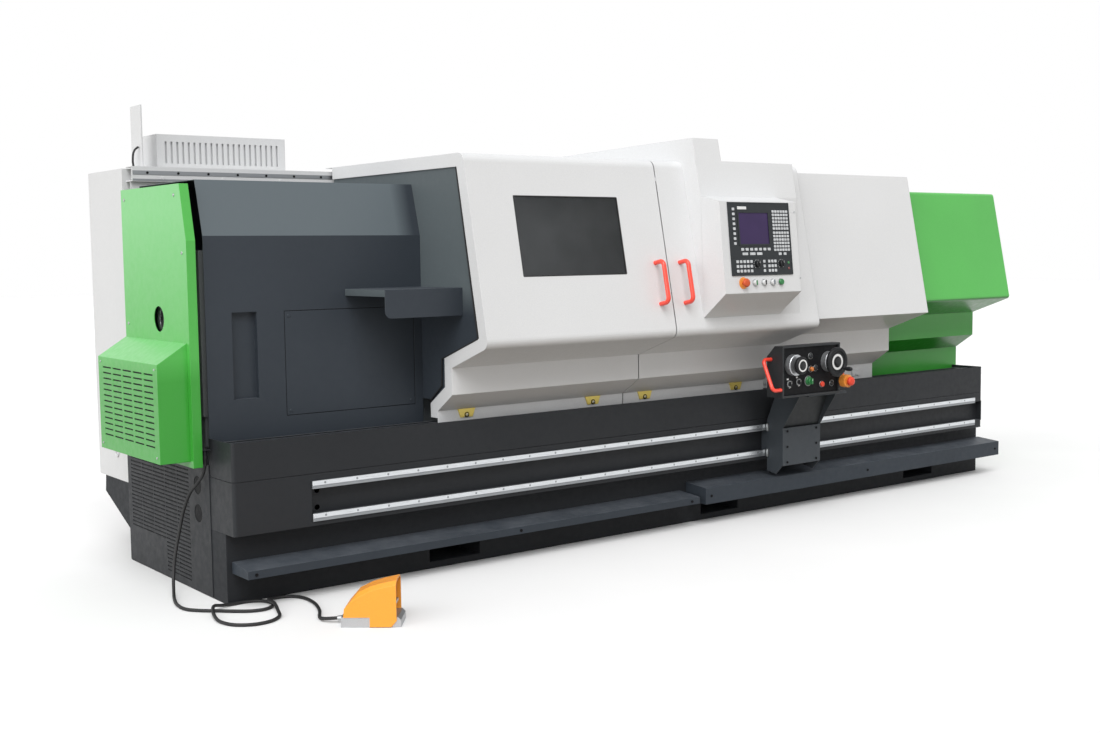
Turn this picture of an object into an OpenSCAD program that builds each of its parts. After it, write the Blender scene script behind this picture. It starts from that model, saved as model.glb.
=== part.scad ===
// Flat-bed engine lathe with computer control and a sliding splash enclosure.
// Millimetres, +Z up. X runs along the bed from the headstock (left) to the tailstock,
// Y runs from the operator's side to the back. The modules below measure X from the left
// end of the base, Y from the front of the skirt and Z from the floor; place() then puts
// the origin on the floor at the centre of the base.

/* [Base and bed] */
// Length of the cast base
base_l = 5170; // [4900:10:5600]
// Depth of the cast base
base_w = 1100; // [1080:10:1200]
// Height of the cast base
base_h = 298; // [280:1:310]
// How far the base lies behind the front skirt
base_setback = 87; // [80:1:110]
// Wall and rib thickness of the base casting
base_wall = 40; // [25:1:60]
// Height of the cast top of the base
base_deck = 60; // [40:1:80]
// Number of fork pockets
pocket_n = 3; // [2:1:3]
// Width of a fork pocket
pocket_w = 280; // [200:5:320]
// Height of a fork pocket
pocket_h = 100; // [70:5:120]
// Height of the pocket floor
pocket_z = 31; // [20:1:50]
// Left edge of the first fork pocket
pocket_x = 990; // [800:10:1100]
// Spacing of the fork pockets
pocket_pitch = 1720; // [1400:10:1800]
// Width of the bed casting over its two walls
bed_w = 460; // [440:5:500]
// Width of one bed wall
bed_wall = 110; // [80:1:130]
// Thickness of the bed's floor web
bed_web = 62; // [40:1:80]
// Number of cross ribs in the bed
bed_ribs = 9; // [5:1:12]
// Thickness of a cross rib
rib_t = 30; // [20:1:45]
// Height of the V way
vee_h = 25; // [15:1:30]

/* [Skirt, trays and rails] */
// Length of the front skirt
skirt_l = 5100; // [4880:10:5300]
// Height of the top edge of the skirt
skirt_top = 684; // [672:1:720]
// Height of the seam between the two skirt sheets
seam_z = 521; // [515:1:530]
// Width of the seam
seam_gap = 2; // [1:0.5:4]
// Sheet metal thickness
sheet_t = 3; // [2:0.5:4]
// How far the skirt's ends reach back
skirt_return = 230; // [200:5:240]
// Outer corner radius of the skirt
skirt_r = 15; // [6:1:30]
// Height of the floor of the sliding-cover trough
trough_z = 640; // [630:1:650]
// Height of a track rib above the trough floor
track_h = 29; // [20:1:32]
// Width of a track rib
track_w = 20; // [14:1:22]
// Left end of the guide rails
rail_x = 355; // [300:5:500]
// Length of the guide rails
rail_l = 4665; // [4400:5:4700]
// Height of a guide rail's face
rail_h = 34; // [28:1:40]
// How far the guide rails stand out of the skirt
rail_proud = 8; // [5:0.5:12]
// Height of the lower guide rail's lower edge
low_rail_z = 318; // [310:1:322]
// Height of the upper guide rail's lower edge
high_rail_z = 458; // [454:1:470]
// Depth of the channel between the rails
channel_d = 45; // [40:1:60]
// Spacing of the rail screws
rail_screw_pitch = 155; // [100:5:300]
// Left edge of the left foot tray
left_tray_x = 24; // [0:1:60]
// Length of the left foot tray
left_tray_l = 2531; // [2300:1:2560]
// Height of the left tray's front edge
left_tray_z = 165; // [150:1:180]
// Height of the left tray's lip
left_tray_lip = 35; // [20:1:50]
// Gap between the two trays
tray_gap = 45; // [20:1:80]
// Length of the right foot tray
right_tray_l = 2590; // [2300:1:2600]
// Height of the right tray's front edge
right_tray_z = 204; // [190:1:210]
// Height of the right tray's lip
right_tray_lip = 86; // [60:1:100]
// Depth of the trays in front of the base
tray_d = 155; // [120:1:160]
// Rise of a tray from its lip to the base
tray_rise = 14; // [5:1:20]

/* [Headstock and spindle] */
// Distance of the spindle axis behind the skirt
spindle_y = 510; // [505:1:515]
// Height of the spindle axis
spindle_z = 1180; // [1170:1:1190]
// Largest radius that swings over the bed
swing_r = 410; // [400:1:420]
// Length of the headstock cover
cover_l = 1050; // [1040:1:1060]
// Front face of the headstock cover
cover_y = 220; // [210:1:230]
// Depth of the headstock cover
cover_d = 685; // [680:1:700]
// Height of the cover's crease
crease_z = 1530; // [1480:1:1560]
// Height of the cover's top
cover_top = 1765; // [1750:1:1780]
// How far the cover leans back above the crease
cover_lean = 65; // [30:1:90]
// Left edge of the access panel
panel_x = 359; // [340:1:380]
// Gap between the access panel and the cover's right end
panel_edge = 36; // [10:1:60]
// Lower edge of the access panel
panel_z = 750; // [720:1:800]
// Height of the access panel
panel_h = 457; // [300:1:480]
// Left edge of the recessed grip
grip_x = 118; // [100:1:130]
// Width of the recessed grip
grip_w = 114; // [80:1:130]
// Lower edge of the recessed grip
grip_z = 838; // [800:1:900]
// Height of the recessed grip
grip_h = 369; // [300:1:380]
// Height of the tool shelf
shelf_z = 1293; // [1230:1:1320]
// Length of the tool shelf
shelf_l = 390; // [300:1:420]
// Depth of the tool shelf
shelf_d = 345; // [300:1:360]
// Height of the shelf's front apron
shelf_apron = 123; // [100:1:140]
// How far the headstock casting ends short of its cover
head_gap = 50; // [40:1:110]
// Depth of the headstock casting
head_w = 420; // [410:1:430]
// Height of the headstock casting
head_h = 700; // [640:1:720]
// Wall thickness of the headstock casting
head_wall = 45; // [35:1:50]
// Outer diameter of the spindle
spindle_d = 140; // [120:1:150]
// Bore through the spindle
spindle_bore = 82; // [60:1:90]
// Diameter of the spindle nose flange
nose_d = 300; // [260:1:320]
// Running clearance between a shaft and its bore, on the radius
run_fit = 0.05; // [0.02:0.01:0.1]
// Gap between faces that slide past each other
slide_gap = 0.3; // [0.2:0.05:0.5]
// Diameter of the chuck
chuck_d = 500; // [460:5:520]
// Thickness of the chuck
chuck_t = 140; // [110:1:150]
// Width of a chuck jaw
jaw_w = 60; // [50:1:70]
// Radial length of a chuck jaw
jaw_l = 105; // [90:1:110]
// How far a jaw stands out of the chuck
jaw_h = 85; // [60:1:90]
// Distance of a jaw's inner end from the axis
jaw_in = 90; // [85:1:100]
// Module of the headstock gears
gear_m = 5; // [5:1:5]
// Teeth of the gear on the spindle
spindle_teeth = 60; // [60:1:60]
// Teeth of the gear on the input shaft
pinion_teeth = 40; // [40:1:40]
// Face width of the gears
gear_w = 60; // [40:1:70]
// Distance of the input shaft in front of the spindle
input_dy = 110; // [100:1:115]
// Diameter of the input shaft
input_d = 50; // [40:1:60]
// Radius of the input shaft's belt pulley
input_pulley_r = 75; // [70:1:78]
// Radius of the motor's belt pulley
motor_pulley_r = 60; // [55:1:62]
// Width of the drive belt
belt_w = 50; // [40:1:55]
// Thickness of the drive belt
belt_t = 6; // [4:1:8]
// Side of the square main motor
motor_s = 200; // [180:1:204]
// Length of the main motor
motor_l = 600; // [500:1:700]
// Diameter of the motor shaft
motor_shaft_d = 42; // [38:1:48]

/* [End guard and belt cover] */
// How far the end guard stands off the base's end
guard_off = 85; // [80:1:95]
// Width of the end guard's flange
guard_flange = 40; // [30:1:42]
// Front edge of the end guard
guard_y = 190; // [180:1:200]
// Depth of the end guard
guard_w = 720; // [700:1:730]
// Lower edge of the end guard
guard_z = 570; // [560:1:590]
// Height of the end guard's top
guard_top = 1745; // [1735:1:1755]
// Hole for bar stock in the end guard
bar_hole_d = 110; // [100:1:120]
// Thickness of the belt cover, outwards
belt_cover_t = 130; // [125:1:140]
// Front edge of the belt cover
belt_cover_y = 220; // [210:1:240]
// Depth of the belt cover
belt_cover_w = 695; // [680:1:700]
// Lower edge of the belt cover
belt_cover_z = 595; // [580:1:610]
// Height of the belt cover's outer face
belt_cover_h = 411; // [405:1:420]
// How far the belt cover's top slopes down
belt_cover_slope = 82; // [70:1:90]
// Spacing of the louvre slots
slot_pitch = 25; // [20:1:30]
// Spacing of the end panel's louvres
louvre_pitch = 18; // [14:1:22]
// Height of a louvre slot
slot_h = 7; // [4:1:10]

/* [Electrical cabinet and rear wall] */
// Length of the electrical cabinet
cabinet_l = 1200; // [1100:10:1300]
// Depth of the electrical cabinet
cabinet_d = 440; // [400:1:460]
// Height of the cabinet's bottom
cabinet_z = 372; // [360:1:400]
// Height of the electrical cabinet
cabinet_h = 1485; // [1470:1:1490]
// Thickness of the cabinet's door
cabinet_door_t = 22; // [16:1:30]
// Length of the cooling unit on the cabinet
vent_l = 670; // [600:1:700]
// Depth of the cooling unit
vent_d = 190; // [150:1:220]
// Height of the cooling unit
vent_h = 173; // [150:1:180]
// Height of the cable upright on the cabinet
upright_h = 299; // [250:1:320]
// Distance of the rear wall behind the skirt
wall_y = 1070; // [1066:1:1074]
// Height of the top guide rail's lower edge
top_rail_z = 1795; // [1790:1:1800]
// Height of the top guide rail
top_rail_h = 70; // [60:1:72]
// Depth of the top guide rail
top_rail_w = 70; // [60:1:72]

/* [Sliding enclosure] */
// Height of the doors' roof
roof_z = 1885; // [1880:1:1890]
// Front edge of the roof
brow_y = -152; // [-160:1:-140]
// Front of the doors' belly
belly_y = -325; // [-335:1:-310]
// Height of the doors' belly
belly_z = 1035; // [1020:1:1045]
// Front of the doors' waist
waist_y = -37; // [-45:1:-30]
// Upper end of the waist
waist_top = 930; // [920:1:940]
// Lower end of the waist
waist_low = 808; // [800:1:815]
// Front of the doors' hanging web
web_y = 86; // [80:1:90]
// Upper end of the web
web_top = 725; // [720:1:730]
// Radius of the belly's edge
belly_r = 40; // [20:1:50]
// Radius of the doors' roof edge
brow_r = 45; // [20:1:50]
// Radius of the tail cover's edges
tail_r = 20; // [10:1:30]
// Seam between the two doors
door_seam_x = 2165; // [2150:1:2180]
// Right end of the right door
right_door_end = 3190; // [3180:1:3200]
// Width of the gap between the doors
door_gap = 6; // [3:1:8]
// Width of the rim at the left door's end
door_rim = 60; // [40:1:62]
// Left edge of the window
window_x = 1293; // [1280:1:1300]
// Width of the window
window_w = 604; // [500:1:620]
// Lower edge of the window
window_z = 1338; // [1320:1:1350]
// Height of the window
window_h = 360; // [300:1:380]
// Height of a door handle's lower foot
handle_z = 1190; // [1170:1:1210]
// Spacing of a door handle's feet
handle_h = 200; // [160:1:220]
// Diameter of the handle tube
handle_d = 22; // [16:1:26]
// How far a handle stands off
handle_off = 60; // [45:1:70]
// Distance of each door handle from the seam
handle_dx = 80; // [60:1:100]
// Left edge of the raised hood on the right door
hood_x = 2355; // [2345:1:2365]
// Length of the raised hood
hood_l = 690; // [660:1:720]
// How far the hood stands in front of the door
hood_d = 100; // [80:1:105]
// Width of the cable duct over the roof
duct_w = 175; // [150:1:200]
// Height of the cable duct above the roof
duct_h = 110; // [90:1:120]
// Width of the control pendant
pendant_w = 537; // [520:1:560]
// Height of the pendant's top ledge
pendant_top = 1690; // [1680:1:1700]
// Height of the pendant's lower edge
pendant_low = 1232; // [1220:1:1240]
// Front of the pendant at its top
pendant_front = 415; // [405:1:425]
// How much further out the pendant's lower edge is
pendant_lean = 45; // [30:1:50]
// How far the middle cover lies inside the doors
middle_step = 54; // [50:1:56]
// Drop from the doors' roof to the middle cover's roof
middle_drop = 32; // [24:1:34]
// Right end of the middle cover
middle_end = 4190; // [4180:1:4200]
// How far the tail cover lies inside the middle cover
tail_step = 86; // [80:1:88]
// Drop from the middle cover's roof to the tail cover's roof
tail_drop = 80; // [76:1:84]
// Right end of the tail cover
tail_end = 5140; // [5130:1:5150]
// How far one cover reaches into the next
cover_lap = 90; // [70:1:120]
// Radius of a door roller
roller_r = 25; // [20:1:28]
// Length of a roller bracket
bracket_l = 95; // [70:1:100]
// Height of a roller bracket
bracket_h = 40; // [30:1:44]

/* [Carriages] */
// Left side of the control carriage
carriage_x = 3120; // [3100:1:3140]
// Width of the control carriage
carriage_w = 300; // [280:1:320]
// Width of the control box
box_w = 445; // [430:1:460]
// How far the box reaches left of the carriage
box_over = 240; // [200:1:250]
// Front of the control box
box_front = 345; // [340:1:350]
// Depth of the control box
box_d = 110; // [100:1:120]
// Height of the control box's lower edge
box_z = 676; // [670:1:680]
// Height of the control box
box_h = 269; // [260:1:272]
// Radius of the left handwheel
left_wheel_r = 46; // [42:1:50]
// Radius of the right handwheel
right_wheel_r = 78; // [70:1:80]
// Radius of the graduated collars
collar_r = 55; // [50:1:56]
// Length of the saddle along the bed
saddle_l = 600; // [520:1:640]
// Left end of the saddle
saddle_x = 2200; // [2100:1:2300]
// Height of the saddle above the bed
saddle_h = 110; // [90:1:112]
// Depth of the saddle
saddle_w = 576; // [560:1:590]
// Length of the cross slide, front to back
cross_l = 450; // [400:1:460]
// Height of the cross slide
cross_h = 80; // [70:1:82]
// Width of the cross slide
cross_w = 360; // [300:1:380]
// Side of the square tool turret
turret_s = 200; // [170:1:210]
// Length of the tailstock
tail_l = 500; // [460:1:520]
// Left end of the tailstock
tail_x = 4250; // [4230:1:4270]
// Diameter of the quill
quill_d = 110; // [90:1:120]
// Length of the quill
quill_l = 480; // [440:1:490]
// How far the quill stands out at rest
quill_out = 100; // [80:1:110]
// Diameter of the feed screw
screw_d = 50; // [40:1:60]
// Distance of the feed screw behind the bed
screw_off = 50; // [46:1:60]

/* [Foot pedal and cable] */
// Length of the foot pedal
pedal_l = 235; // [220:1:250]
// Width of the foot pedal
pedal_w = 150; // [130:1:160]
// Height of the pedal's guard hood
pedal_h = 182; // [170:1:190]
// Thickness of the pedal's base
pedal_base_h = 40; // [34:1:44]
// Wall thickness of the guard hood
hood_t = 5; // [4:0.5:8]
// Diameter of the pedal's cable
cord_d = 14; // [10:1:16]

/* [Hidden] */
$fn = 48;

SLATE = [0.30, 0.33, 0.36];
GREEN = [0.41, 0.76, 0.40];
WHITE = [0.87, 0.87, 0.86];
SILVER = [0.82, 0.83, 0.85];
RED = [0.93, 0.30, 0.22];
BLACK = [0.12, 0.12, 0.13];
IRON = [0.42, 0.44, 0.46];
STEEL = [0.62, 0.64, 0.66];

// ---- Derived places ----
bed_top = spindle_z - swing_r;
bed_y = spindle_y - bed_w / 2;
bed_x = 10;
bed_end = skirt_l - bed_x;
bed_back = bed_y + bed_w;
vee_y = bed_y + bed_wall / 2;
base_back = base_setback + base_w;
trough_floor = trough_z + sheet_t;
track_top = trough_floor + track_h;
rail_front_y = wall_y - 20;
rail_top = top_rail_z + top_rail_h;
through = 1;
head_l = cover_l - head_gap;
panel_l = cover_l - panel_x - panel_edge;

// ---- Sheet metal outlines ----
function unit(v) = v / norm(v);
function normal(v) = [-v[1], v[0]];
function edge(pts, i) = unit(pts[i + 1] - pts[i]);
// Where the two edges at a corner cross after each has moved sideways by its own step
function moved(p, n, m, s, t) =
	let (c = n * m) p + (n * (s - t * c) + m * (t - s * c)) / (1 - c * c);
// An open outline with every edge moved to its left by its own step
function shifted(pts, steps) =
	let (last = len(pts) - 1)
	[for (i = [0:last])
		i == 0 ? pts[0] + normal(edge(pts, 0)) * steps[0]
		: i == last ? pts[i] + normal(edge(pts, i - 1)) * steps[i - 1]
		: moved(pts[i], normal(edge(pts, i - 1)), normal(edge(pts, i)), steps[i - 1], steps[i])];
function inset(pts, t) = shifted(pts, [for (p = pts) t]);
// A closed outline, listed with its inside on the left, moved inwards by one step
function inset_loop(pts, t) =
	let (n = len(pts))
	[for (i = [0:n - 1])
		let (a = unit(pts[i] - pts[(i + n - 1) % n]), b = unit(pts[(i + 1) % n] - pts[i]))
		moved(pts[i], normal(a), normal(b), t, t)];
// Corner p between a and b replaced by an arc
function arc_corner(a, p, b, r, n = 6) =
	let (
		u = unit(a - p), w = unit(b - p), half = acos(u * w) / 2, span = 180 - 2 * half,
		c = p + unit(u + w) * r / sin(half),
		v0 = p + u * r / tan(half) - c, v1 = p + w * r / tan(half) - c
	)
	[for (i = [0:n]) c + (v0 * sin(span * (1 - i / n)) + v1 * sin(span * i / n)) / sin(span)];
function rounded_at(pts, k, r) =
	[for (i = [0:len(pts) - 1])
		each (i == k ? arc_corner(pts[k - 1], pts[k], pts[k + 1], r) : [pts[i]])];

// A bent sheet of thickness t whose outer side is the outline
module strip(pts, t = sheet_t) {
	inner = inset(pts, t);
	polygon(concat(pts, [for (i = [len(pts) - 1:-1:0]) inner[i]]));
}
module ring_strip(pts, t = sheet_t) {
	difference() {
		polygon(pts);
		polygon(inset_loop(pts, t));
	}
}
// Outlines drawn as (Y, Z) and run along X, or drawn as (X, Z) and run along Y
module along_x(x0, x1) {
	translate([x0, 0, 0]) rotate([90, 0, 90]) linear_extrude(x1 - x0) children();
}
module along_y(y0, y1) {
	translate([0, y1, 0]) rotate([90, 0, 0]) linear_extrude(y1 - y0) children();
}
module block(a, b) {
	translate(a) cube(b - a);
}
// A cylinder along X, from x0 to x1
module rod_x(x0, x1, y, z, r) {
	translate([x0, y, z]) rotate([0, 90, 0]) cylinder(h = x1 - x0, r = r);
}
module place() {
	translate([-base_l / 2, -(base_setback + base_w / 2), 0]) children();
}

// A bow handle of bent tube: feet on the plane z = 0, a distance h apart along y
module bow_handle(h, off, d) {
	bend = d * 1.1;
	for (y = [0, h]) translate([0, y, 0]) cylinder(h = off - bend, d = d);
	translate([0, bend, off]) rotate([-90, 0, 0]) cylinder(h = h - 2 * bend, d = d);
	for (k = [0, 1])
		translate([0, k == 0 ? bend : h - bend, off - bend])
			rotate([90, 0, 90]) rotate([0, 0, k == 0 ? 90 : 0])
				rotate_extrude(angle = 90) translate([bend, 0]) circle(d = d);
}
// A turned push-button head: base collar, then a rounded cap
module turned_button(r, h, dome) {
	rotate_extrude()
		polygon([[0, 0], [r, 0], [r, h - dome], [r - dome, h], [0, h]]);
}
module mushroom(stem_r, stem_h, head_r, head_h) {
	rotate_extrude()
		polygon([
			[0, 0], [stem_r, 0], [stem_r, stem_h], [head_r, stem_h + head_h * 0.15],
			[head_r, stem_h + head_h * 0.55], [head_r * 0.85, stem_h + head_h * 0.85],
			[head_r * 0.5, stem_h + head_h], [0, stem_h + head_h]
		]);
}

// ---- Base casting ----
pocket_xs = [for (i = [0:pocket_n - 1]) pocket_x + i * pocket_pitch];
function span_start(i) = i == 0 ? base_wall : pocket_xs[i - 1] + pocket_w + base_wall;
function span_end(i) = i == pocket_n ? base_l - base_wall : pocket_xs[i] - base_wall;
bracket_t = 20;
cabinet_front = rail_front_y + top_rail_w + 1;
cabinet_back = cabinet_front + cabinet_d;

module base_frame() {
	core = [base_setback + base_wall, base_setback + base_w / 2 - base_wall / 2,
			base_setback + base_w / 2 + base_wall / 2, base_back - base_wall];
	color(SLATE) {
		difference() {
			block([0, base_setback, 0], [base_l, base_back, base_h]);
			for (x = pocket_xs)
				block([x, base_setback - through, pocket_z],
						[x + pocket_w, base_back + through, pocket_z + pocket_h]);
			for (i = [0:pocket_n], side = [0, 1])
				block([span_start(i), core[2 * side], base_wall],
						[span_end(i), core[2 * side + 1], base_h - base_deck]);
		}
		for (x = [0, cabinet_l - bracket_t])
			along_x(x, x + bracket_t)
				polygon([[base_back, base_h / 2], [cabinet_back - 50, cabinet_z - 80],
						[cabinet_back - 60, cabinet_z], [base_back, cabinet_z],
						[cabinet_front + 5, cabinet_z], [cabinet_front + 5, base_h],
						[base_back, base_h]]);
	}
}

// ---- Bed casting with the feed screw's bearings ----
screw_y = bed_back + screw_off;
screw_z = bed_top - 80;
screw_x0 = cover_l + 50;
screw_x1 = bed_end - 40;
bearing_t = 60;
bearing_h = 50;

module bed() {
	color(IRON) {
		block([bed_x, bed_y, base_h], [bed_end, bed_back, base_h + bed_web]);
		for (y = [bed_y, bed_back - bed_wall])
			block([bed_x, y, base_h], [bed_end, y + bed_wall, bed_top]);
		for (i = [0:bed_ribs - 1]) {
			x = bed_x + i * (bed_end - bed_x - rib_t) / (bed_ribs - 1);
			block([x, bed_y, base_h], [x + rib_t, bed_back, bed_top - 90]);
		}
		along_x(cover_l + 20, bed_end)
			polygon([[vee_y - vee_h, bed_top], [vee_y + vee_h, bed_top],
					[vee_y + 4, bed_top + vee_h - 4], [vee_y - 4, bed_top + vee_h - 4]]);
		for (x = [screw_x0, screw_x1 - bearing_t])
			difference() {
				block([x, bed_back - through, screw_z - bearing_h],
						[x + bearing_t, screw_y + bearing_h - 10, screw_z + bearing_h]);
				rod_x(x - through, x + bearing_t + through, screw_y, screw_z,
						screw_d / 2 + run_fit);
			}
		block([screw_x0 - 150, screw_y - bearing_h + 5, screw_z - bearing_h],
				[screw_x0 - 2, screw_y + bearing_h - 10, screw_z + bearing_h]);
		block([screw_x0 - 2, bed_back, screw_z - bearing_h],
				[screw_x0, screw_y + bearing_h - 10, screw_z + bearing_h]);
	}
}

module feed_screw() {
	color(STEEL) rod_x(screw_x0 + 2, screw_x1 - 5, screw_y, screw_z, screw_d / 2);
}

// ---- Left end panel with its louvres ----
module left_end_panel() {
	slot_l = 132;
	slot_gap = 7;
	slot_w = 7;
	plain_y = 770;
	plain_z = 160;
	color(SLATE) difference() {
		block([-sheet_t, skirt_return, 5], [0, base_back - 3, guard_z]);
		for (y = [450:slot_l + slot_gap:base_back - 40 - slot_l],
					z = [34:louvre_pitch:guard_z - slot_w - 4])
			if (y + slot_l < plain_y || z > plain_z)
				block([-sheet_t - through, y, z], [through, y + slot_l, z + slot_w]);
		for (z = [base_h + 50, base_h + 172])
			rod_x(-sheet_t - through, through, 355, z, 40);
	}
}

// ---- Front skirt ----
module skirt_plan(x1) {
	pts = rounded_at([[0, skirt_return], [0, 0], [x1, 0]], 1, skirt_r);
	inner = inset(pts, sheet_t);
	polygon(concat(pts, [for (i = [len(pts) - 1:-1:0]) inner[i]]));
}
middle_web_y = web_y + middle_step;
track_ys = [web_y + 11, middle_web_y + 11];

// Notch that clears a skirt's return, whose outer face is at x
module return_notch(x) {
	block([x - sheet_t - slide_gap, bed_y - 80, trough_floor - through],
			[x + sheet_t + slide_gap, bed_y, skirt_top + slide_gap]);
}
module upper_skirt() {
	color(SLATE) {
		translate([0, 0, seam_z + seam_gap])
			linear_extrude(skirt_top - seam_z - seam_gap) {
				skirt_plan(skirt_l / 2);
				translate([skirt_l, 0]) mirror([1, 0]) skirt_plan(skirt_l / 2);
			}
		block([sheet_t, sheet_t, trough_z], [skirt_l - sheet_t, bed_y, trough_floor]);
		for (y = track_ys)
			block([sheet_t, y, trough_floor], [skirt_l - sheet_t, y + track_w, track_top]);
		// Bracket and gland that the pedal's cable comes out of
		translate([cord_exit_x - 14, cord_exit_y - 16, cord_exit_z + 22])
			cube([sheet_t + 14 - cord_exit_x, 23, 4]);
		translate([cord_exit_x, cord_exit_y, cord_exit_z]) cylinder(h = 23, r = cord_d / 2 + 4);
	}
}

module lower_skirt() {
	ledge = 6;
	low = low_rail_z + rail_h - ledge;
	high = high_rail_z + ledge;
	color(SLATE) difference() {
		union() {
			translate([0, 0, base_h])
				linear_extrude(seam_z - base_h) {
					skirt_plan(skirt_l / 2);
					translate([skirt_l, 0]) mirror([1, 0]) skirt_plan(skirt_l / 2);
				}
			block([sheet_t, sheet_t, base_h], [skirt_l - sheet_t, skirt_return, base_h + sheet_t]);
			along_x(rail_x - sheet_t, skirt_l)
				polygon([[sheet_t, low - sheet_t], [channel_d, low - sheet_t],
						[channel_d, high + sheet_t], [sheet_t, high + sheet_t]]);
		}
		along_x(rail_x, skirt_l - sheet_t)
			polygon([[-through, low], [channel_d - sheet_t, low],
					[channel_d - sheet_t, high], [-through, high]]);
		for (z = [low + 22, high - 22])
			translate([rail_x + 45, channel_d + through, z]) rotate([90, 0, 0])
				cylinder(h = sheet_t + 2 * through, r = 12);
	}
}

module guide_rail(z) {
	groove = 3;
	difference() {
		block([rail_x, -rail_proud, z], [rail_x + rail_l, 0, z + rail_h]);
		block([rail_x - through, -rail_proud - through, z + rail_h * 0.3],
				[rail_x + rail_l + through, -rail_proud + groove / 2, z + rail_h * 0.3 + groove]);
	}
	for (x = [rail_x + 60:rail_screw_pitch:rail_x + rail_l - 20])
		translate([x, -rail_proud + 0.2, z + rail_h * 0.68]) rotate([90, 0, 0])
			cylinder(h = 0.8, r = 5);
}
module guide_rails() {
	color(SILVER) {
		guide_rail(low_rail_z);
		guide_rail(high_rail_z);
	}
}

// A folded foot tray with end cheeks
module tray(x, l, z, lip) {
	front = base_setback - tray_d;
	pts = [[base_setback, z + tray_rise], [front, z], [front, z - lip]];
	along_x(x, x + l) intersection() {
		strip(pts);
		translate([front, 0]) square([tray_d, base_h]);
	}
	for (end = [x, x + l - sheet_t])
		along_x(end, end + sheet_t)
			polygon([[base_setback, z + tray_rise], [front, z], [front, z - lip],
					[base_setback, z - lip]]);
}
module floor_trays() {
	color(SLATE) {
		tray(left_tray_x, left_tray_l, left_tray_z, left_tray_lip);
		tray(left_tray_x + left_tray_l + tray_gap, right_tray_l, right_tray_z, right_tray_lip);
	}
}

// ---- Headstock casting and the drive ----
head_y = bed_y - 10;
head_skin = 15;
head_floor = 30;
gear_x = 200;
inner_wall_x = 320;
inner_wall_t = 30;
input_dz = sqrt(pow(gear_m * (spindle_teeth + pinion_teeth) / 2, 2) - pow(input_dy, 2));
input_y = spindle_y - input_dy;
input_z = spindle_z - input_dz;
motor_foot = 5;
motor_x = 60;
motor_y = head_y + head_w + motor_foot;
motor_cy = motor_y + motor_s / 2;
motor_cz = input_z - 50;
belt_x = -guard_off - 15 - belt_w;
pulley_side = 5;

module headstock_housing() {
	end_walls = [[0, head_wall], [inner_wall_x, inner_wall_x + inner_wall_t],
				[head_l - head_wall, head_l]];
	color(IRON) difference() {
		block([0, head_y, bed_top], [head_l, head_y + head_w, bed_top + head_h]);
		for (i = [0, 1])
			block([end_walls[i][1], head_y + head_skin, bed_top + head_floor],
					[end_walls[i + 1][0], head_y + head_w - head_skin,
					bed_top + head_h - head_floor]);
		rod_x(-through, head_l + through, spindle_y, spindle_z, spindle_d / 2 + run_fit);
		rod_x(-through, inner_wall_x + inner_wall_t + through, input_y, input_z,
				input_d / 2 + run_fit);
	}
}

// A spur gear drawn about its centre, with one tooth pointing along +x
module gear_2d(teeth) {
	pitch_r = gear_m * teeth / 2;
	root_r = pitch_r - 1.25 * gear_m;
	tip_r = pitch_r + 0.9 * gear_m;
	quarter = 90 / teeth;
	polygon([for (i = [0:teeth - 1])
		each [for (q = [[root_r, -1.3], [tip_r, -0.45], [tip_r, 0.45], [root_r, 1.3]])
			let (a = 4 * quarter * i + quarter * q[1]) q[0] * [cos(a), sin(a)]]]);
}
mesh_angle = atan2(-input_dz, -input_dy);

module spindle() {
	nose_t = 30;
	color(STEEL) difference() {
		union() {
			rod_x(-guard_off + 20, head_l + nose_t, spindle_y, spindle_z, spindle_d / 2);
			rod_x(head_l + nose_t, cover_l + 25, spindle_y, spindle_z, nose_d / 2);
			translate([0, spindle_y, spindle_z])
				along_x(gear_x, gear_x + gear_w) rotate(mesh_angle) gear_2d(spindle_teeth);
		}
		rod_x(-guard_off, cover_l + 26, spindle_y, spindle_z, spindle_bore / 2);
	}
}
chuck_x = cover_l + 25;
chuck_face = chuck_x + chuck_t;
slot_d = 20;

module around_spindle(turn) {
	translate([0, spindle_y, spindle_z]) rotate([turn, 0, 0]) children();
}
module chuck() {
	edge_r = 6;
	color(STEEL) difference() {
		translate([chuck_x, spindle_y, spindle_z]) rotate([0, 90, 0])
			rotate_extrude()
				polygon([[spindle_bore / 2, 0], [chuck_d / 2 - edge_r, 0],
						[chuck_d / 2, edge_r], [chuck_d / 2, chuck_t - edge_r],
						[chuck_d / 2 - edge_r, chuck_t], [spindle_bore / 2, chuck_t]]);
		for (turn = [0, 120, 240])
			around_spindle(turn)
				block([chuck_face - slot_d, -jaw_w / 2 - slide_gap, 0],
						[chuck_face + through, jaw_w / 2 + slide_gap, chuck_d]);
	}
}
module jaw(turn) {
	steps = 3;
	color(IRON) around_spindle(turn)
		for (i = [0:steps - 1])
			block([chuck_face - slot_d + slide_gap, -jaw_w / 2, jaw_in + i * jaw_l / steps],
					[chuck_face + jaw_h * (1 - i * 0.28), jaw_w / 2,
					jaw_in + (i + 1) * jaw_l / steps]);
}
module jaw_1() jaw(0);
module jaw_2() jaw(120);
module jaw_3() jaw(240);

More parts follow.
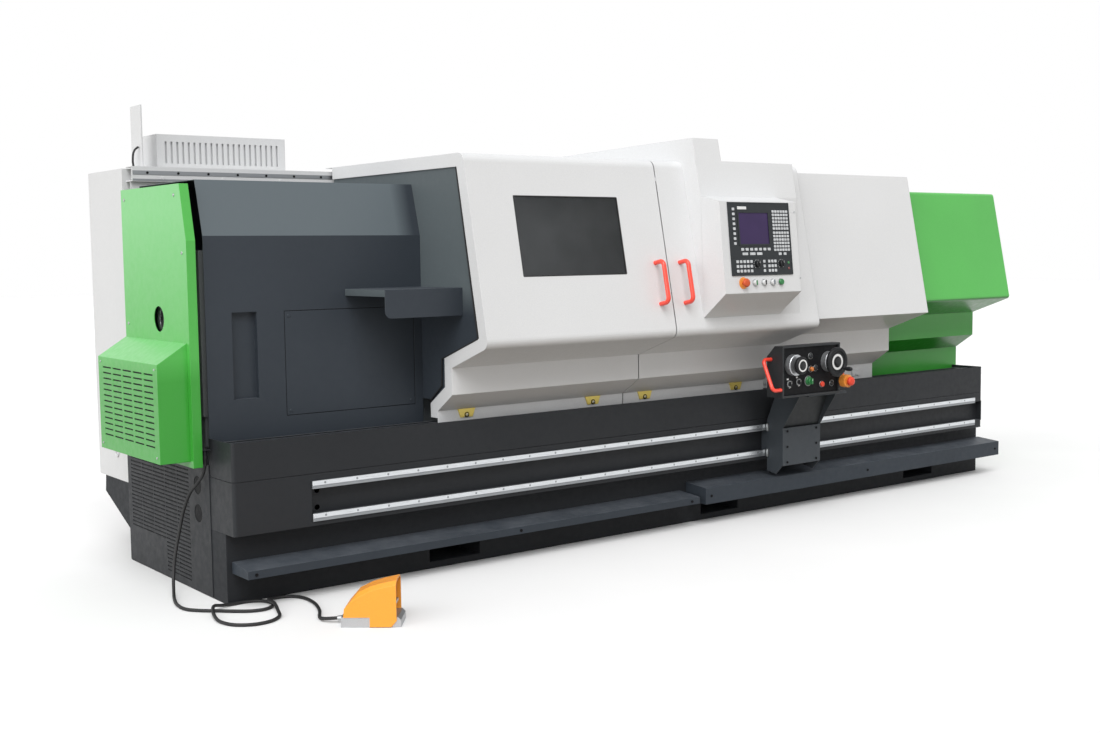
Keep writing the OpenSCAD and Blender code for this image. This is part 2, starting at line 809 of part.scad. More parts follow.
module pulley(r, cy, cz) {
	rod_x(belt_x - pulley_side, belt_x + belt_w + pulley_side, cy, cz, r);
	for (x = [belt_x - pulley_side, belt_x + belt_w + 1])
		rod_x(x, x + pulley_side - 1, cy, cz, r + 4);
}
module input_shaft() {
	color(STEEL) {
		rod_x(belt_x - pulley_side, inner_wall_x + inner_wall_t, input_y, input_z, input_d / 2);
		pulley(input_pulley_r, input_y, input_z);
		translate([0, input_y, input_z])
			along_x(gear_x, gear_x + gear_w)
				rotate(mesh_angle + 180 + 180 / pinion_teeth) gear_2d(pinion_teeth);
	}
}
module motor_pulley() {
	color(STEEL) {
		rod_x(belt_x - pulley_side, motor_x + 110, motor_cy, motor_cz, motor_shaft_d / 2);
		pulley(motor_pulley_r, motor_cy, motor_cz);
	}
}
module main_motor() {
	half = motor_s / 2;
	cut = 22;
	color(IRON) {
		difference() {
			along_x(motor_x, motor_x + motor_l)
				translate([motor_cy, motor_cz])
					polygon([[-half + cut, -half], [half - cut, -half], [half, -half + cut],
							[half, half - cut], [half - cut, half], [-half + cut, half],
							[-half, half - cut], [-half, -half + cut]]);
			rod_x(motor_x - through, motor_x + 120, motor_cy, motor_cz,
					motor_shaft_d / 2 + run_fit);
		}
		block([motor_x + 20, motor_y - motor_foot, motor_cz - half + cut],
				[motor_x + motor_l - 20, motor_y, motor_cz + half - cut]);
	}
}
module belt_loop(extra) {
	hull() {
		translate([input_y, input_z]) circle(r = input_pulley_r + extra, $fn = 64);
		translate([motor_cy, motor_cz]) circle(r = motor_pulley_r + extra, $fn = 64);
	}
}
module drive_belt() {
	color(BLACK) along_x(belt_x + 2, belt_x + belt_w - 2) difference() {
		belt_loop(slide_gap + belt_t);
		belt_loop(slide_gap);
	}
}

// ---- Headstock cover with the access panel, recessed grip and tool shelf ----
cover_end = cover_l + 6;
cover_back = cover_y + cover_d;

module panel_seam(x, z, w, h, seam) {
	for (dz = [0, h - seam])
		block([x, cover_y - through, z + dz], [x + w, cover_y + sheet_t / 2, z + dz + seam]);
	for (dx = [0, w - seam])
		block([x + dx, cover_y - through, z], [x + dx + seam, cover_y + sheet_t / 2, z + h]);
}
module headstock_cover() {
	pts = [[cover_back, base_h], [cover_back, cover_top], [cover_y + cover_lean, cover_top],
			[cover_y, crease_z], [cover_y, trough_floor]];
	grip_d = 30;
	screw_in = 22;
	color(SLATE) {
		difference() {
			along_x(0, cover_end) strip(pts);
			panel_seam(panel_x, panel_z, panel_l, panel_h, 3);
			block([grip_x, cover_y - through, grip_z],
					[grip_x + grip_w, cover_y + sheet_t + through, grip_z + grip_h]);
			return_notch(0);
		}
		difference() {
			block([grip_x - sheet_t, cover_y + sheet_t, grip_z - sheet_t],
					[grip_x + grip_w + sheet_t, cover_y + grip_d + sheet_t,
					grip_z + grip_h + sheet_t]);
			block([grip_x, cover_y, grip_z],
					[grip_x + grip_w, cover_y + grip_d, grip_z + grip_h]);
		}
		for (dx = [screw_in, panel_l - screw_in], dz = [screw_in, panel_h - screw_in])
			translate([panel_x + dx, cover_y + 0.5, panel_z + dz]) rotate([90, 0, 0])
				cylinder(h = 3, r = 7);
		tool_shelf();
	}
}
module tool_shelf() {
	x0 = cover_l - shelf_l;
	y0 = cover_y - shelf_d;
	lip = 30;
	block([x0, y0, shelf_z - sheet_t], [cover_end, cover_y, shelf_z]);
	along_y(y0, y0 + sheet_t) {
		pts = [[cover_end, shelf_z], [x0, shelf_z], [x0, shelf_z - shelf_apron],
				[cover_end, shelf_z - shelf_apron]];
		polygon(rounded_at(pts, 2, lip));
	}
	block([x0, y0, shelf_z - lip], [x0 + sheet_t, cover_y, shelf_z]);
}

// ---- End guard and belt cover ----
guard_crease = 1510;
guard_lean = 55;
guard_gap_y = belt_cover_y + 60;

module end_guard() {
	back = guard_y + guard_w;
	pts = [[guard_y, guard_z], [back, guard_z], [back, guard_top],
			[guard_y + guard_lean, guard_top], [guard_y, guard_crease]];
	color(GREEN) {
		difference() {
			along_x(-guard_off, -guard_off + sheet_t) polygon(pts);
			rod_x(-guard_off - through, 0, spindle_y, spindle_z, bar_hole_d / 2);
			block([-guard_off - through, guard_gap_y, belt_cover_z + 40],
					[0, motor_cy + motor_pulley_r + 20, belt_cover_z + belt_cover_h - 1]);
		}
		along_x(-guard_off, -guard_off + guard_flange) ring_strip(pts);
		for (dy = [-150, 150], dz = [75, 230])
			rod_x(-guard_off + sheet_t, 0, spindle_y + dy, spindle_z + dz, 15);
	}
}

module belt_cover() {
	x0 = -guard_off - belt_cover_t;
	top = belt_cover_z + belt_cover_h;
	pts = [[x0, belt_cover_z], [-guard_off, belt_cover_z], [-guard_off, top + belt_cover_slope],
			[x0, top]];
	inner = [[x0 + sheet_t, belt_cover_z + sheet_t], [-guard_off + through, belt_cover_z + sheet_t],
			[-guard_off + through, top + belt_cover_slope - sheet_t], [x0 + sheet_t, top - sheet_t]];
	columns = 5;
	rows = 13;
	slot_l = 100;
	column_pitch = (belt_cover_w - 85) / columns;
	color(GREEN) difference() {
		along_y(belt_cover_y, belt_cover_y + belt_cover_w) polygon(pts);
		along_y(belt_cover_y + sheet_t, belt_cover_y + belt_cover_w - sheet_t) polygon(inner);
		for (col = [0:columns - 1], row = [0:rows - 1])
			translate([x0 - through, belt_cover_y + 50 + col * column_pitch,
						belt_cover_z + 63 + row * slot_pitch])
				cube([sheet_t + 2 * through, slot_l, slot_h]);
	}
}

// ---- Bulkhead between the headstock and the work area ----
door_outline_rear = rail_front_y + 50;
web_low = trough_floor + 17;
function door_outline(rear) = [
	[rear, roof_z], [brow_y, roof_z], [belly_y, belly_z], [waist_y, waist_top],
	[waist_y, waist_low], [web_y, web_top], [web_y, web_low]];
door_pts = rounded_at(rounded_at(door_outline(door_outline_rear), 2, belly_r), 1, brow_r);
rim_pts = inset(door_outline(door_outline_rear), door_rim);
middle_pts = shifted(door_outline(rail_front_y - slide_gap),
	[middle_drop, middle_step, middle_step, middle_step, middle_step, middle_step]);
tail_pts = shifted(
	[for (i = [0:6]) i == 0 ? [wall_y, middle_pts[0][1]]
		: i == 6 ? [middle_pts[6][0], trough_floor] : middle_pts[i]],
	[tail_drop, tail_step, tail_step, tail_step, tail_step, tail_step]);
tail_round = rounded_at(rounded_at(tail_pts, 2, tail_r), 1, tail_r);
face_slope = (brow_y - belly_y) / (roof_z - belly_z);
face_tilt = atan(face_slope);
function face_y(z) = brow_y - (roof_z - z) * face_slope;
function face_at(z) = [face_y(z), z];

module bulkhead() {
	gap = 10;
	pts = inset(door_outline(rail_front_y - 25), sheet_t + gap);
	color(SLATE) difference() {
		along_x(cover_end, cover_end + sheet_t) intersection() {
			polygon(concat(pts, [[rail_front_y - 25, web_low]]));
			translate([-1000, bed_top + 5]) square([3000, 2000]);
		}
		rod_x(cover_end - through, cover_end + 2 * sheet_t, spindle_y, spindle_z,
				nose_d / 2 + 10);
	}
}

// ---- Electrical cabinet with its cooling unit and cable upright ----
cabinet_top = cabinet_z + cabinet_h;
hinge_r = 8;
hinge_h = 60;
hinge_x = cabinet_l + hinge_r + 1;
hinge_y = cabinet_back + slide_gap + cabinet_door_t / 2;
hinge_zs = [cabinet_z + 200, cabinet_top - 200];

module electrical_cabinet() {
	vent_x = 200;
	vent_y = cabinet_front + 69;
	vents = 21;
	upright_x = 100;
	color([0.80, 0.80, 0.79]) {
		difference() {
			block([0, cabinet_front, cabinet_z], [cabinet_l, cabinet_back, cabinet_top]);
			block([sheet_t, cabinet_front + sheet_t, cabinet_z + sheet_t],
					[cabinet_l - sheet_t, cabinet_back + through, cabinet_top - sheet_t]);
		}
		// Mounting plate on four stand-offs inside the cabinet
		block([60, cabinet_front + 40, cabinet_z + 60],
				[cabinet_l - 60, cabinet_front + 43, cabinet_top - 60]);
		for (x = [100, cabinet_l - 100], z = [cabinet_z + 100, cabinet_top - 100])
			translate([x, cabinet_front + 40, z]) rotate([90, 0, 0])
				cylinder(h = 40 - sheet_t / 2, r = 10);
		difference() {
			block([vent_x, vent_y, cabinet_top], [vent_x + vent_l, vent_y + vent_d,
													cabinet_top + vent_h]);
			for (i = [0:vents - 1])
				block([vent_x + 40 + i * (vent_l - 90) / (vents - 1), vent_y - through,
						cabinet_top + 35],
						[vent_x + 50 + i * (vent_l - 90) / (vents - 1), vent_y + 12,
						cabinet_top + vent_h - 35]);
		}
		block([upright_x, cabinet_front, cabinet_top],
				[upright_x + 6, cabinet_front + 130, cabinet_top + upright_h]);
		translate([0, cabinet_front + 200, cabinet_z + 128]) rotate([0, -90, 0])
			rotate_extrude() translate([16, 3]) circle(r = 4);
		// Hinge leaves, knuckles and pins
		for (z = hinge_zs) {
			for (dz = [-1, 1]) {
				low = z + (dz < 0 ? -hinge_h / 2 - 20 : hinge_h / 2 + slide_gap);
				block([cabinet_l - 1, cabinet_back - 45, low],
						[hinge_x + 3, cabinet_back - 3, low + 20 - slide_gap]);
				block([hinge_x - 3, cabinet_back - 4, low], [hinge_x + 3, hinge_y, low + 20 - slide_gap]);
				translate([hinge_x, hinge_y, low]) cylinder(h = 20 - slide_gap, r = hinge_r);
			}
			translate([hinge_x, hinge_y, z - hinge_h / 2 - 10]) cylinder(h = hinge_h + 20, r = hinge_r / 2);
		}
	}
}

module cabinet_door() {
	y0 = cabinet_back + slide_gap;
	gap = 1;
	color([0.78, 0.78, 0.77]) {
		difference() {
			block([gap, y0, cabinet_z + gap],
					[cabinet_l - gap, y0 + cabinet_door_t, cabinet_top - gap]);
			block([gap + 25, y0 - through, cabinet_z + 30],
					[cabinet_l - gap - 25, y0 + cabinet_door_t - sheet_t, cabinet_top - 30]);
		}
		for (dz = [-cabinet_h / 3, 0, cabinet_h / 3])
			translate([70, y0 + cabinet_door_t, cabinet_z + cabinet_h / 2 + dz]) rotate([-90, 0, 0])
				cylinder(h = 18, r = 16);
		for (z = hinge_zs)
			difference() {
				translate([hinge_x, hinge_y, z - hinge_h / 2]) {
					cylinder(h = hinge_h, r = hinge_r);
					translate([cabinet_l - gap - 5 - hinge_x, -3, 0])
						cube([hinge_x - cabinet_l + gap + 5, 6, hinge_h]);
				}
				translate([hinge_x, hinge_y, z - hinge_h])
					cylinder(h = 2 * hinge_h, r = hinge_r / 2 + run_fit);
			}
	}
}

// ---- Rear wall, top guide rail and the ledge of the middle cover ----
wall_x = 20;
middle_x = right_door_end - cover_lap;

module rear_wall() {
	ledge_z = roof_z - middle_drop - sheet_t - slide_gap;
	ledge_w = 28;
	rail_wall = 5;
	color([0.78, 0.79, 0.79]) {
		block([wall_x, wall_y, base_h], [tail_end, wall_y + sheet_t, top_rail_z]);
		along_x(wall_x, tail_end) difference() {
			translate([rail_front_y, top_rail_z]) square([top_rail_w, top_rail_h]);
			translate([rail_front_y + rail_wall, top_rail_z + rail_wall])
				square([top_rail_w, top_rail_h - 2 * rail_wall]);
		}
		along_x(middle_x, tail_end)
			polygon([[rail_front_y - ledge_w, ledge_z - sheet_t], [rail_front_y, top_rail_z],
					[rail_front_y, ledge_z], [rail_front_y - ledge_w, ledge_z]]);
		for (x = [wall_x + 150:300:tail_end])
			translate([x, rail_front_y + 0.2, top_rail_z + 18]) rotate([90, 0, 0])
				cylinder(h = 2, r = 7);
	}
}

// ---- Tail and middle covers ----
tail_x0 = middle_end - cover_lap;

module tail_cover() {
	color(GREEN) difference() {
		union() {
			along_x(tail_x0, tail_end) strip(tail_round);
			along_x(tail_end - sheet_t, tail_end) intersection() {
				polygon(concat(tail_round, [[wall_y, trough_floor]]));
				translate([-1000, skirt_top + 4]) square([3000, 2000]);
			}
		}
		return_notch(skirt_l);
	}
}

// Roller with its axle and bracket, hung on a cover's web at web position wy
axle_r = 8;
module track_roller(x, wy) {
	z = track_top + roller_r + slide_gap;
	translate([x, wy - 8, z]) rotate([-90, 0, 0]) cylinder(h = 8 + sheet_t + 29, r = axle_r);
	translate([x, wy + sheet_t + 11 - sheet_t, z]) rotate([-90, 0, 0])
		cylinder(h = track_w, r = roller_r);
	low = z - bracket_h / 2 + 8;
	difference() {
		along_y(wy - 6, wy)
			polygon([[x - bracket_l / 2 + 14, low], [x + bracket_l / 2 - 14, low],
					[x + bracket_l / 2, low + bracket_h], [x - bracket_l / 2, low + bracket_h]]);
		translate([x, wy + through, low]) rotate([90, 0, 0]) cylinder(h = 6 + 2 * through, r = 14);
	}
}
module axle_hole(x, wy) {
	translate([x, wy - through, track_top + roller_r + slide_gap]) rotate([-90, 0, 0])
		cylinder(h = sheet_t + 2 * through, r = axle_r + run_fit);
}
// Bronze shoe that carries the roof's rear edge on the top rail
module rail_shoe(x, top) {
	block([x - 60, rail_front_y + 8, rail_top + slide_gap], [x + 60, rail_front_y + 42, top]);
}

module middle_cover() {
	color(WHITE) {
		difference() {
			along_x(middle_x, middle_end) strip(middle_pts);
			for (x = [middle_x + 150, middle_end - 150]) axle_hole(x, middle_web_y);
		}
		for (x = [middle_x + 150, middle_end - 150]) track_roller(x, middle_web_y);
	}
}

// ---- Left door ----
left_door_x = cover_l;
left_door_end = door_seam_x - door_gap / 2;
left_roller_xs = [left_door_x + 155, left_door_end - 198];

module left_door() {
	color(WHITE) {
		difference() {
			along_x(left_door_x, left_door_end) strip(door_pts);
			block([window_x, belly_y - 10, window_z],
					[window_x + window_w, brow_y + 20, window_z + window_h]);
			for (x = left_roller_xs) axle_hole(x, web_y);
		}
		along_x(left_door_x, left_door_x + sheet_t) intersection() {
			polygon(concat(door_pts, [for (i = [6:-1:0]) rim_pts[i]]));
			translate([-1000, track_top + 20]) square([rail_front_y + 980, 2000]);
		}
	}
}
module window_glass() {
	lap = 15;
	z0 = window_z - lap;
	z1 = window_z + window_h + lap;
	near = [(sheet_t + 0.05) / cos(face_tilt), 0];
	far = near + [6, 0];
	color([0.15, 0.17, 0.20]) along_x(window_x - lap, window_x + window_w + lap)
		polygon([face_at(z0) + near, face_at(z1) + near, face_at(z1) + far, face_at(z0) + far]);
}
module on_face(x, z) {
	translate([x, face_y(z), z]) rotate([90 - face_tilt, 0, 0]) children();
}
module left_handle() {
	color(RED) on_face(door_seam_x - handle_dx, handle_z) bow_handle(handle_h, handle_off, handle_d);
}
module right_handle() {
	color(RED) on_face(door_seam_x + handle_dx, handle_z) bow_handle(handle_h, handle_off, handle_d);
}
module left_rollers() {
	color([0.78, 0.66, 0.32]) {
		for (x = left_roller_xs) track_roller(x, web_y);
		for (x = left_roller_xs) rail_shoe(x, roof_z - sheet_t);
	}
}

// ---- Right door with the raised hood and the cable duct ----
right_door_x = door_seam_x + door_gap / 2;
right_roller_xs = [right_door_x + 142, right_door_end - 220];
hood_foot = 1110;
pendant_ledge = 28;
pendant_z = pendant_top - 10;
hood_break = pendant_z + pendant_ledge;
function hood_at(z) = face_at(z) - [hood_d, 0];
// Front of the hood below its break, where it tapers into the door
function hood_front(z) =
	face_at(hood_foot) + (hood_at(hood_break) - face_at(hood_foot)) * (z - hood_foot)
		/ (hood_break - hood_foot);
duct_fall = 35;
duct_top = roof_z + duct_h;

module right_door() {
	hood_pts = [[brow_y + brow_r, roof_z], hood_at(roof_z), hood_at(hood_break), face_at(hood_foot)];
	// The hood's sides reach half way into the door's sheet
	seat = [sheet_t / 2, 0];
	duct_pts = [[door_outline_rear, duct_top - duct_fall], hood_at(duct_top), hood_at(roof_z)];
	duct_side = concat(duct_pts, [[door_outline_rear, roof_z]]);
	color(WHITE) {
		difference() {
			along_x(right_door_x, right_door_end) strip(door_pts);
			for (x = right_roller_xs) axle_hole(x, web_y);
		}
		along_x(hood_x, hood_x + hood_l) strip(hood_pts);
		for (x = [hood_x, hood_x + hood_l - sheet_t])
			along_x(x, x + sheet_t)
				polygon(concat(hood_pts, [face_at(hood_foot) + seat, face_at(roof_z - brow_r) + seat,
					[brow_y + brow_r, roof_z - seat[0]]]));
		along_x(hood_x, hood_x + duct_w) strip(duct_pts);
		for (x = [hood_x, hood_x + duct_w - sheet_t])
			along_x(x, x + sheet_t) polygon(duct_side);
		block([hood_x, door_outline_rear - sheet_t, roof_z],
				[hood_x + duct_w, door_outline_rear, duct_top - duct_fall]);
	}
}
module right_rollers() {
	color([0.78, 0.66, 0.32]) {
		for (x = right_roller_xs) track_roller(x, web_y);
		for (x = right_roller_xs) rail_shoe(x, roof_z - sheet_t);
	}
}

// ---- Control pendant on the right door ----
pendant_tilt = atan(pendant_lean / (pendant_z - pendant_low));
function pendant_y(z) = -pendant_front - (pendant_z - z) * tan(pendant_tilt);
module on_pendant(x, z) {
	translate([x, pendant_y(z), z]) rotate([90 - pendant_tilt, 0, 0]) children();
}
pendant_row_z = 1282;
pendant_estop_x = 125;
start_x = 387;
silver_xs = [205, 269, 330];

module pendant_box() {
	pts = [hood_front(hood_break), [-pendant_front, pendant_z],
			[pendant_y(pendant_low), pendant_low], hood_front(hood_foot + 3)];
	color(WHITE) {
		difference() {
			union() {
				along_x(hood_x, hood_x + pendant_w) intersection() {
					strip(pts);
					polygon(pts);
				}
				for (x = [hood_x, hood_x + pendant_w - sheet_t])
					along_x(x, x + sheet_t) polygon(pts);
			}
			for (dx = [pendant_estop_x, start_x])
				on_pendant(hood_x + dx, pendant_row_z) translate([0, 0, -10])
					cylinder(h = 20, r = 8 + slide_gap);
		}
		for (dx = silver_xs)
			on_pendant(hood_x + dx, pendant_row_z) translate([0, 0, -1]) turned_button(14, 15, 3);
	}
}

// Flat operator panel: bezel, screen and membrane keys
panel_lx = 50;
cnc_w = 430;
cnc_h = 359;
cnc_t = 4;
cnc_foot_z = 1318;
module panel_keys(us, vs, w, h) {
	for (u = us, v = vs)
		translate([u - w / 2, v - h / 2, cnc_t]) cube([w, h, 1.5]);
}
knob_us = [176, 347];
knob_v = 55;
module cnc_panel() {
	color([0.16, 0.17, 0.18])
		on_pendant(hood_x + panel_lx, cnc_foot_z) {
			difference() {
				cube([cnc_w, cnc_h, cnc_t]);
				translate([66, 150, cnc_t - 2]) cube([212, 161, 3]);
				for (u = knob_us)
					translate([u, knob_v, -through]) cylinder(h = cnc_t + 2, r = 5 + run_fit);
			}
			panel_keys([35], [for (i = [0:7]) 157 + 24 * i], 15, 12);
			panel_keys([for (i = [0:5]) 312 + 19.5 * i], [for (i = [0:5]) 124 + 17 * i], 14, 11);
			panel_keys([for (i = [0:5]) 312 + 19.5 * i], [for (i = [0:5]) 230 + 17 * i], 14, 11);
			panel_keys([for (i = [0:6]) 82 + 31 * i], [128], 18, 12);
			panel_keys([98, 150, 198], [106], 36, 12);
			panel_keys([345, 380], [104], 18, 12);
			panel_keys([for (i = [0:4]) 41 + 24 * i], [22, 45, 68], 15, 13);
			panel_keys([227, 262, 284, 306], [22, 45, 68], 14, 13);
		}
}
module panel_knob(u) {
	color(BLACK) on_pendant(hood_x + panel_lx, cnc_foot_z) translate([u, knob_v, 0]) {
		cylinder(h = cnc_t + 2, r = 5);
		translate([0, 0, cnc_t + slide_gap]) turned_button(15, 16, 3);
		translate([-3, -14, cnc_t + slide_gap]) cube([6, 28, 21]);
	}
}
module feed_knob() panel_knob(knob_us[0]);
module speed_knob() panel_knob(knob_us[1]);
module pendant_estop() {
	color(RED) on_pendant(hood_x + pendant_estop_x, pendant_row_z) translate([0, 0, -9])
		mushroom(8, 9 + 16, 21, 16);
}
module start_button() {
	color([0.15, 0.50, 0.20]) on_pendant(hood_x + start_x, pendant_row_z) {
		translate([0, 0, -9]) cylinder(h = 12, r = 8);
		translate([0, 0, 5]) turned_button(15, 10, 3);
		cylinder(h = 5.5, r = 8);
	}
}

// ---- Control carriage on the front rails ----
plate_back = -rail_proud - 0.5;
plate_t = 5;
flange_t = 12;
module control_carriage() {
	low = low_rail_z + rail_h;
	high = high_rail_z;
	front = plate_back - 117.5;
	foot = low_rail_z - 95;
	knee = 272;
	bend = box_z - 198;
	x1 = carriage_x + carriage_w;
	side = [[plate_back, seam_z - 8], [plate_back, foot + 13], [plate_back - 67, foot],
			[front + 6, knee], [front, bend + 2], [-(box_front - box_d + 20), box_z], [-82, box_z]];
	color([0.45, 0.47, 0.49]) {
		for (x = [carriage_x, x1 - plate_t])
			along_x(x, x + plate_t) polygon(side);
		along_x(carriage_x, x1) polygon([[front, knee], [front + plate_t, knee],
										[front + plate_t, bend], [front, bend]]);
		along_x(carriage_x, x1) polygon([[front + 14, bend], [front + 14 + plate_t, bend],
										[front - 64 + plate_t, box_z - flange_t],
										[front - 64, box_z - flange_t]]);
		block([carriage_x, -box_front + 35, box_z - flange_t], [x1, -82, box_z]);
		for (x = [carriage_x + 30, x1 - 30 - 8], z = [knee + 18, (knee + bend) / 2, bend - 18])
			translate([x + 4, front + 0.5, z]) rotate([90, 0, 0]) cylinder(h = 2.5, r = 6);
		// Neck and shoe that run in the channel between the rails
		block([carriage_x + plate_t, plate_back - 30, low + slide_gap],
				[x1 - plate_t, 0.5, high - slide_gap]);
		block([carriage_x + plate_t, slide_gap, low - 5],
				[x1 - plate_t, channel_d - sheet_t - 5, high + 5]);
		block([carriage_x + plate_t, front + plate_t, low + 30],
				[x1 - plate_t, plate_back - 29, low + 60]);
	}
}

// ---- Control box ----
box_x = carriage_x - box_over;
box_rim = 10;
box_recess = 12;
box_panel_y = -box_front + box_recess;
hub_r = 9;
module on_box(dx, dz) {
	translate([box_x + dx, box_panel_y, box_z + dz]) rotate([90, 0, 0]) children();
}
wheel_at = [[84, 169], [360, 172]];
estop_at = [box_w + 25, 62];
estop_pod_r = 33;
estop_pod_z = 49;
red_at = [310, 54];
orange_at = [225, 139];
green_at = [205, 78];
selector_at = [[62, 71], [131, 77]];

module control_box() {
	chamfer = 55;
	y0 = -box_front;
	y1 = y0 + box_d;
	top = box_z + box_h;
	color([0.47, 0.49, 0.51]) {
		difference() {
			along_x(box_x, box_x + box_w)
				polygon([[y0, box_z], [y1, box_z], [y1, top - chamfer], [y1 - chamfer, top],
						[y0, top]]);
			block([box_x + box_rim, y0 - through, box_z + box_rim],
					[box_x + box_w - box_rim, box_panel_y, top - box_rim]);
			along_x(box_x + sheet_t, box_x + box_w - sheet_t)
				polygon([[box_panel_y + 4, box_z + sheet_t], [y1 - sheet_t, box_z + sheet_t],
						[y1 - sheet_t, top - chamfer - 1], [y1 - chamfer - 1, top - sheet_t],
						[box_panel_y + 4, top - sheet_t]]);
			translate([carriage_x + 60, y1 - 40, box_z - through])
				cylinder(h = sheet_t + 2 * through, r = 14);
			for (p = wheel_at)
				on_box(p[0], p[1]) translate([0, 0, -10]) cylinder(h = 20, r = hub_r + run_fit);
			for (p = [red_at, orange_at, green_at, selector_at[0], selector_at[1]])
				on_box(p[0], p[1]) translate([0, 0, -10]) cylinder(h = 20, r = 6 + slide_gap);
		}
		// Pod that carries the emergency stop beside the box
		on_box(estop_at[0], estop_at[1]) difference() {
			translate([0, 0, box_recess - 1]) cylinder(h = estop_pod_z - box_recess + 1, r = estop_pod_r);
			translate([0, 0, estop_pod_z - 22]) cylinder(h = 30, r = 6 + slide_gap);
		}
		for (p = [[223, 208], [262, 142], [390, 54]])
			on_box(p[0], p[1]) turned_button(12, 10, 3);
		for (p = selector_at)
			on_box(p[0], p[1]) difference() {
				translate([-17, -17, 0]) cube([34, 34, 1.5]);
				translate([0, 0, -through]) cylinder(h = 4, r = 6 + slide_gap);
			}
	}
}

side_handle = [[-333, 719], [-263, 875]];
module control_handles() {
	d = 20;
	off = 60;
	run = side_handle[1] - side_handle[0];
	lean = -atan2(run[0], run[1]);
	color(RED) for (k = [0, 1])
		translate([k == 0 ? box_x : box_x + box_w, side_handle[0][0], side_handle[0][1]])
			rotate([lean, 0, 0]) rotate([90, 0, k == 0 ? -90 : 90])
				bow_handle(norm(run), off, d);
}

module handwheel(p, r) {
	collar_h = 34;
	wheel_h = 22;
	wheel_z = 52;
	on_box(p[0], p[1]) {
		translate([0, 0, -10]) cylinder(h = wheel_z + 12, r = hub_r);
		translate([0, 0, slide_gap]) turned_button(collar_r, collar_h, 3);
		translate([0, 0, wheel_z])
			rotate_extrude()
				polygon([[0, 0], [r - 5, 0], [r, 5], [r, wheel_h - 5], [r - 5, wheel_h],
						[r - 18, wheel_h], [r - 22, wheel_h - 6], [22, wheel_h - 6],
						[18, wheel_h], [0, wheel_h]]);
	}
}
module left_handwheel() {
	color(BLACK) handwheel(wheel_at[0], left_wheel_r);
}
module right_handwheel() {
	crank = [48, -38];
	color(BLACK) {
		handwheel(wheel_at[1], right_wheel_r);
		on_box(wheel_at[1][0] + crank[0], wheel_at[1][1] + crank[1])
			translate([0, 0, 70]) rotate_extrude()
				polygon([[0, 0], [6, 0], [6, 8], [9, 14], [12, 34], [10, 50], [5, 55], [0, 55]]);
	}
}
module control_estop() {
	color(RED) on_box(estop_at[0], estop_at[1])
		translate([0, 0, estop_pod_z - 10]) mushroom(6, 19, 24, 22);
}
module round_button(p, r, h) {
	on_box(p[0], p[1]) {
		translate([0, 0, -9]) cylinder(h = 15, r = 6);
		translate([0, 0, 5]) turned_button(r, h, 2);
	}
}
module red_button() color(RED) round_button(red_at, 14, 8);
module orange_button() color([0.85, 0.50, 0.20]) round_button(orange_at, 11, 12);
module green_selector() {
	color([0.25, 0.62, 0.35]) on_box(green_at[0], green_at[1]) {
		translate([0, 0, -9]) cylinder(h = 20, r = 6);
		translate([0, 0, slide_gap]) turned_button(23, 12, 3);
		translate([0, 0, 12]) turned_button(16, 12, 3);
		translate([-5, -15, 12]) cube([10, 30, 22]);
	}
}
module selector(p) {
	color(BLACK) on_box(p[0], p[1]) {
		translate([0, 0, -9]) cylinder(h = 14, r = 6);
		translate([0, 0, 1.5 + slide_gap]) turned_button(11, 10, 2);
		translate([-4, -12, 1.5 + slide_gap]) cube([8, 24, 16]);
	}
}
module left_selector() selector(selector_at[0]);
module right_selector() selector(selector_at[1]);

// ---- Saddle, cross slide and tool turret ----
saddle_y = bed_y - 18;
saddle_top = bed_top + saddle_h;
guide_w = 300;
guide_h = 25;
guide_x = saddle_x + (saddle_l - guide_w) / 2;
cross_x = saddle_x + (saddle_l - cross_w) / 2;
cross_y = 200;
cross_z = saddle_top + slide_gap;
cross_top = cross_z + cross_h;
post_r = 30;
turret_c = [saddle_x + saddle_l / 2, cross_y + turret_s / 2 - 20];

module way_outline(y0, y1, top) {
	low = bed_top + slide_gap;
	g = slide_gap * 2;
	polygon([[y0, low], [vee_y - vee_h - g, low], [vee_y - 4 - g, bed_top + vee_h - 4 + g],
			[vee_y + 4 + g, bed_top + vee_h - 4 + g], [vee_y + vee_h + g, low], [y1, low],
			[y1, top], [y0, top]]);
}
module saddle() {
	y1 = saddle_y + saddle_w;
	color(IRON) difference() {
		union() {
			along_x(saddle_x, saddle_x + saddle_l) way_outline(saddle_y, y1, saddle_top);
			block([saddle_x, saddle_y, bed_top - 50],
					[saddle_x + saddle_l, bed_y - slide_gap, bed_top + slide_gap]);
			block([saddle_x, bed_back + 5, screw_z - 45],
					[saddle_x + saddle_l, y1, bed_top + slide_gap]);
			block([guide_x, saddle_y, saddle_top], [guide_x + guide_w, y1, saddle_top + guide_h]);
		}
		rod_x(saddle_x - through, saddle_x + saddle_l + through, screw_y, screw_z,
				screw_d / 2 + run_fit);
	}
}
module cross_slide() {
	color(STEEL) {
		difference() {
			block([cross_x, cross_y, cross_z], [cross_x + cross_w, cross_y + cross_l, cross_top]);
			block([guide_x - slide_gap, cross_y - through, cross_z - through],
					[guide_x + guide_w + slide_gap, cross_y + cross_l + through,
					saddle_top + guide_h + slide_gap]);
		}
		translate([turret_c[0], turret_c[1], cross_top])
			cylinder(h = turret_h + slide_gap + 20, r = post_r);
	}
}
turret_z = cross_top + slide_gap;
turret_h = spindle_z - turret_z + 45;
